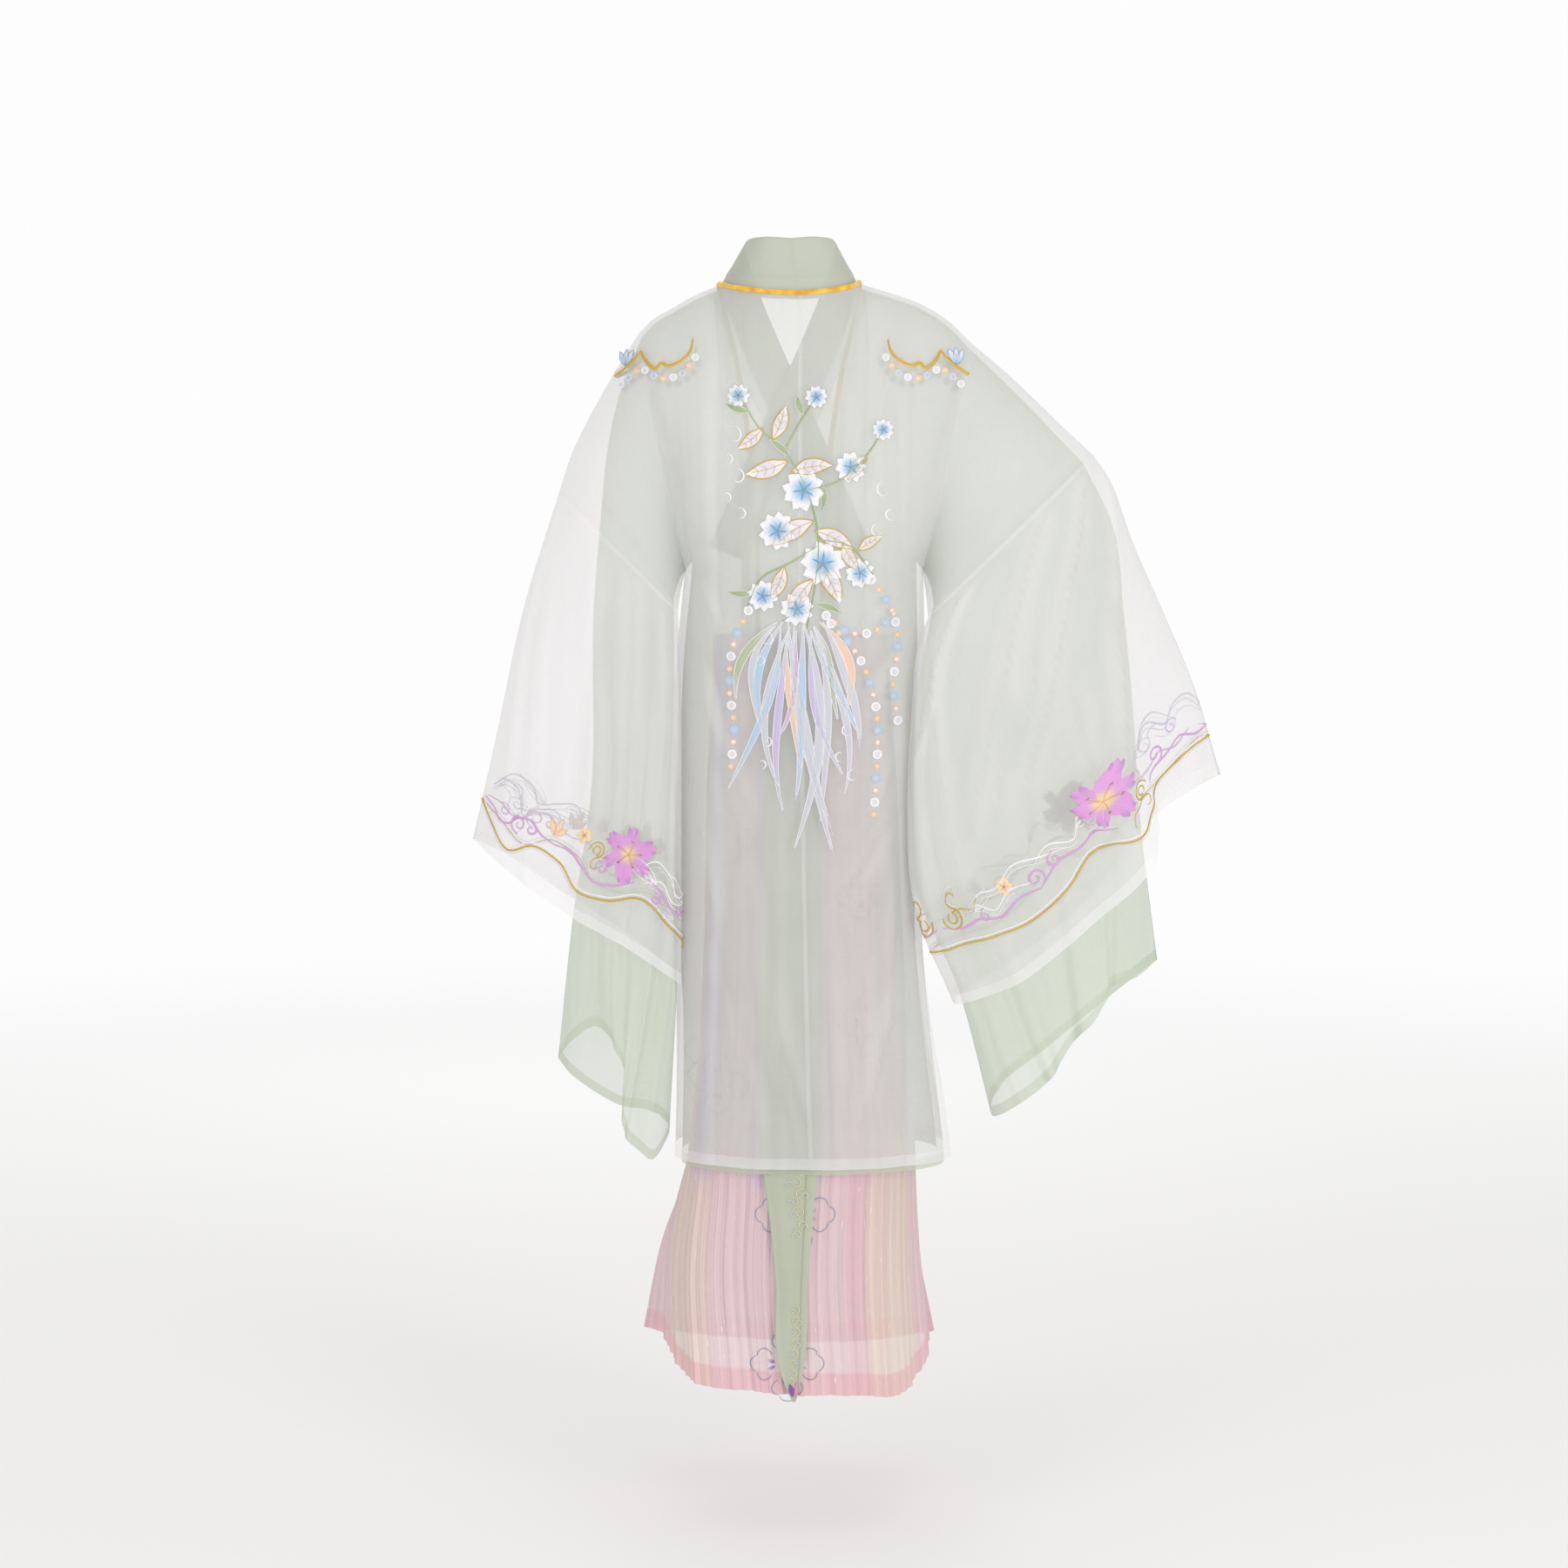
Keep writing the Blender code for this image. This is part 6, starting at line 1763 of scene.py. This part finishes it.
# Each small open curl: its centre, radius, start and sweep, every one swinging the other way from the last.
CURLS = (
    (70, -196, 12, 90, 210), (78, -222, 9, 270, -200), (66, -246, 11, 90, 230), (80, -270, 8, 250, -220),
    (62, -292, 9, 80, 200), (-116, -262, 12, 80, -220), (-124, -290, 9, 260, 210), (-108, -312, 10, 90, -240),
    (30, -446, 10, 100, 220), (38, -470, 8, 280, -200), (-72, -560, 10, 90, -220), (-62, -590, 8, 270, 210),
    (-78, -616, 9, 90, -230), (30, -574, 8, 100, 220), (36, -600, 7, 260, -210),
)

spray = [stroke(line, [1.6, 2.6, 1.2], SAGE_SILK, dye(150, 172, 122), rise=0.7) for line in STEMS]
for number, (x, reach, turn, bend, shade) in enumerate(WILLOW_LEAVES):
    line = bent(x, WILLOW_TOP - 5 * (number % 3), reach, turn, bend, 14)
    line[:, 0] += WILLOW_SWAY * np.sin(np.linspace(0, 4.6, 14) + number)
    widths = WILLOW * (1.0 if number % 3 else 1.25) * (0.8 + 0.2 * reach / 220)
    spray += edged(line, widths, MIST_SILK, shade, shade, MIST_SILK, edge=WHITE_SILK)
    spray.append(strand(line[1:-1], [1.0, 0.5], WHITE_SILK, rise=1.0, step=3))
for x, z, length, turn, bend in GILT_LEAVES:
    line = bent(x, z, length, turn, bend)
    spray += edged(line, LEAF * length * 0.38, WHITE_SILK, PEARL, WHITE_SILK, edge=GILT, edge_width=1.5, cord=True)
    spray.append(strand(bent(x, z, length * 0.86, turn, bend), [1.3, 0.7], GILT, rise=1.3, cord=True))
    for rib in (0.3, 0.5, 0.7):
        root = bent(x, z, length * rib, turn, bend * rib)[-1]
        for side in (-1, 1):
            line = bent(*root, length * 0.17, turn + bend * rib + side * 52, -side * 12, 4)
            spray.append(strand(line, [0.9, 0.5], GILT, rise=1.0, cord=True))
for leaf in SAGE_LEAVES:
    spray += edged(bent(*leaf), LEAF * 8, SAGE_SILK, dye(156, 176, 128), edge=WHITE_SILK, edge_width=0.8)
for x, z, size, turn in BLOSSOMS:
    spray += moved(blossom(size, 5, SKY_SILK, WHITE_SILK, BLUE_SILK), x, z, turn, 0.86)
for line in STRINGS:
    line = np.array(line, float)
    spray.append(strand(line, 0.6, PEARL, rise=0.2))
    for number, (x, z) in enumerate(along_line(line, round(measured(line)[-1] / STRING_STEP))):
        spray += bead_ring(x, z, 7.5 if number % 2 else 11.5, *STRING_COLOURS[number % 4])
for x, z, radius, start, sweep in CURLS:
    line = arc(x, z, radius, start, start + sweep, radius * 0.4, count=12)
    spray.append(stroke(line, [0.8, 2.2, 0.7], WHITE_SILK, rise=0.6))
shoulders = shoulder(LEFT) + shoulder(RIGHT)
back_spray = needlework("back_embroidery", spray + shoulders, lay_behind)
front_scallops = needlework("front_embroidery", shoulders, lay_before)

# The skirt's woven flowers: four cloud-edged lobes in thin grey-blue outline with a pair of purple petals at
# the root of each, set between the folds at the centre back and front.

FRONT = SKIRT_FOLDS * FOLD_STEPS // 2  # the skirt grid's column at the centre front
QUARTER = FRONT // 2
FLOWER_Z = np.linspace(SKIRT["z"][0], -1400 * MM, 260)
FLOWER_X = np.linspace(-150 * MM, 150 * MM, 240)
OUTLINE_SILK = dye(150, 156, 186)
PURPLE_SILK = dye(140, 84, 170)
# Each flower: its size and its place.
BACK_FLOWERS = (
    (50, -6, -1168), (46, 4, -1352), (30, -88, -770), (40, 92, -1010), (40, -100, -930), (36, 80, -700)
)
FRONT_FLOWERS = ((50, 20, -1180), (46, -80, -1330), (40, 96, -980), (36, -70, -820), (40, 110, -1320))


def quatrefoil(size):
    """Four lobes, each three small arcs side by side, and two purple petals at the root of each."""
    side_arcs = ((size * 0.16, 0, 0.22, -70, 70), (0, size * 0.22, 0.20, 0, 170), (0, -size * 0.22, 0.20, -170, 0))
    strokes = []
    for turn in (0, 90, 180, 270):
        lobes = [
            strand(arc(size * 0.62 + dx, dz, size * radius, start, end, count=9), [0.9, 1.2, 0.9], OUTLINE_SILK,
                   rise=0.3)
            for dx, dz, radius, start, end in side_arcs
        ]
        petals = [
            strand(bent(size * 0.34, side * size * 0.05, size * 0.20, 90 + side * 24, 0, 4), [0.6, size * 0.10, 0.6],
                   PURPLE_SILK, LAVENDER_SILK, rise=0.3)
            for side in (-1, 1)
        ]
        strokes += moved(lobes + petals, 0, 0, turn)
    return strokes


def flowers(name, places, columns, way):
    """The skirt's flowers at their places, laid on its face behind (way 1) or in front (way -1)."""
    strokes = []
    for size, x, z in places:
        strokes += moved(quatrefoil(size), x, z)
    return needlework(name, strokes, lay_on_map(columns, FLOWER_Z, FLOWER_X, way))


skirt_columns = list(skirt_grid.transpose(1, 0, 2))
behind_columns = skirt_columns[-QUARTER - 1 : -1] + skirt_columns[:QUARTER]
before_columns = skirt_columns[FRONT + QUARTER : FRONT - QUARTER : -1]
skirt_flowers = flowers("skirt_back_flowers", BACK_FLOWERS, behind_columns, 1)
skirt_front_flowers = flowers("skirt_front_flowers", FRONT_FLOWERS, before_columns, -1)

# The sash's cloud scrolls: pale gold and silver thread down the right half of the folded strip, denser near
# its top and its point, and a purple patch at the tip.

PALE_GILT = dye(232, 222, 176)
CLOUD_LIFT = 1.3 * MM
# Each cloud: its place, its size, and -1 where it is turned over.
CLOUDS = (
    (-6, -1128, 10, 1), (-12, -1142, 8, -1), (-4, -1152, 7, 1), (-10, -1166, 9, 1), (-14, -1182, 6, -1),
    (-8, -1194, 6, 1), (-6, -1290, 6, 1), (-4, -1304, 7, -1), (-6, -1318, 7, 1), (-2, -1332, 7, -1),
    (-2, -1346, 7, 1), (2, -1358, 6, -1), (0, -1370, 6, 1), (3, -1380, 5, 1), (-14, -700, 9, 1),
    (-8, -716, 8, -1), (-14, -734, 8, 1), (-10, -900, 9, 1), (-14, -916, 7, -1), (-8, -930, 8, 1),
)


def lay_sash(flat):
    """Places on the sash's top layer, each facing straight back."""
    place = on_sash(flat[..., 0], flat[..., 1], SASH_LIFT + SASH_TOP + CLOUD_LIFT)
    return place, np.broadcast_to(np.array([0.0, 1.0, 0.0]), place.shape)


clouds = []
for x, z, size, flip in CLOUDS:
    gold = arc(0, 0, size, 20, 400, size * 0.2, count=20)
    silver = arc(size * 0.9, -size * 0.3, size * 0.55, 160, -150, size * 0.2)
    clouds += moved([
        strand(gold, [0.7, 1.1, 0.7], PALE_GILT, rise=0.4, cord=True),
        strand(silver, [0.7, 1.0, 0.6], PEARL, rise=0.4),
    ], x, z, 0, 1, flip)
clouds.append(stroke([(7, -1384), (5, -1391), (3, -1399)], [3.0, 9.0, 3.0], PURPLE_SILK, rise=0.4))
clouds.append(stroke([(-4, -1380), (-3, -1390), (-1, -1400)], [2.0, 5.0, 2.0], dye(232, 150, 178), rise=0.4))
sash_clouds = needlework("sash_clouds", clouds, lay_sash)

# Every piece of cloth is cut flat, from its width and length. The needlework goes with the cloth that it is worked
# on.

for number, (piece, start, end) in enumerate(zip(skirt_lengths, LENGTH_SEAMS, LENGTH_SEAMS[1:])):
    worked = [skirt_flowers] if number == 0 else [skirt_front_flowers] if number == 6 else []
    across = SKIRT_ROUND * (end - start) / LENGTH_SEAMS[-1]
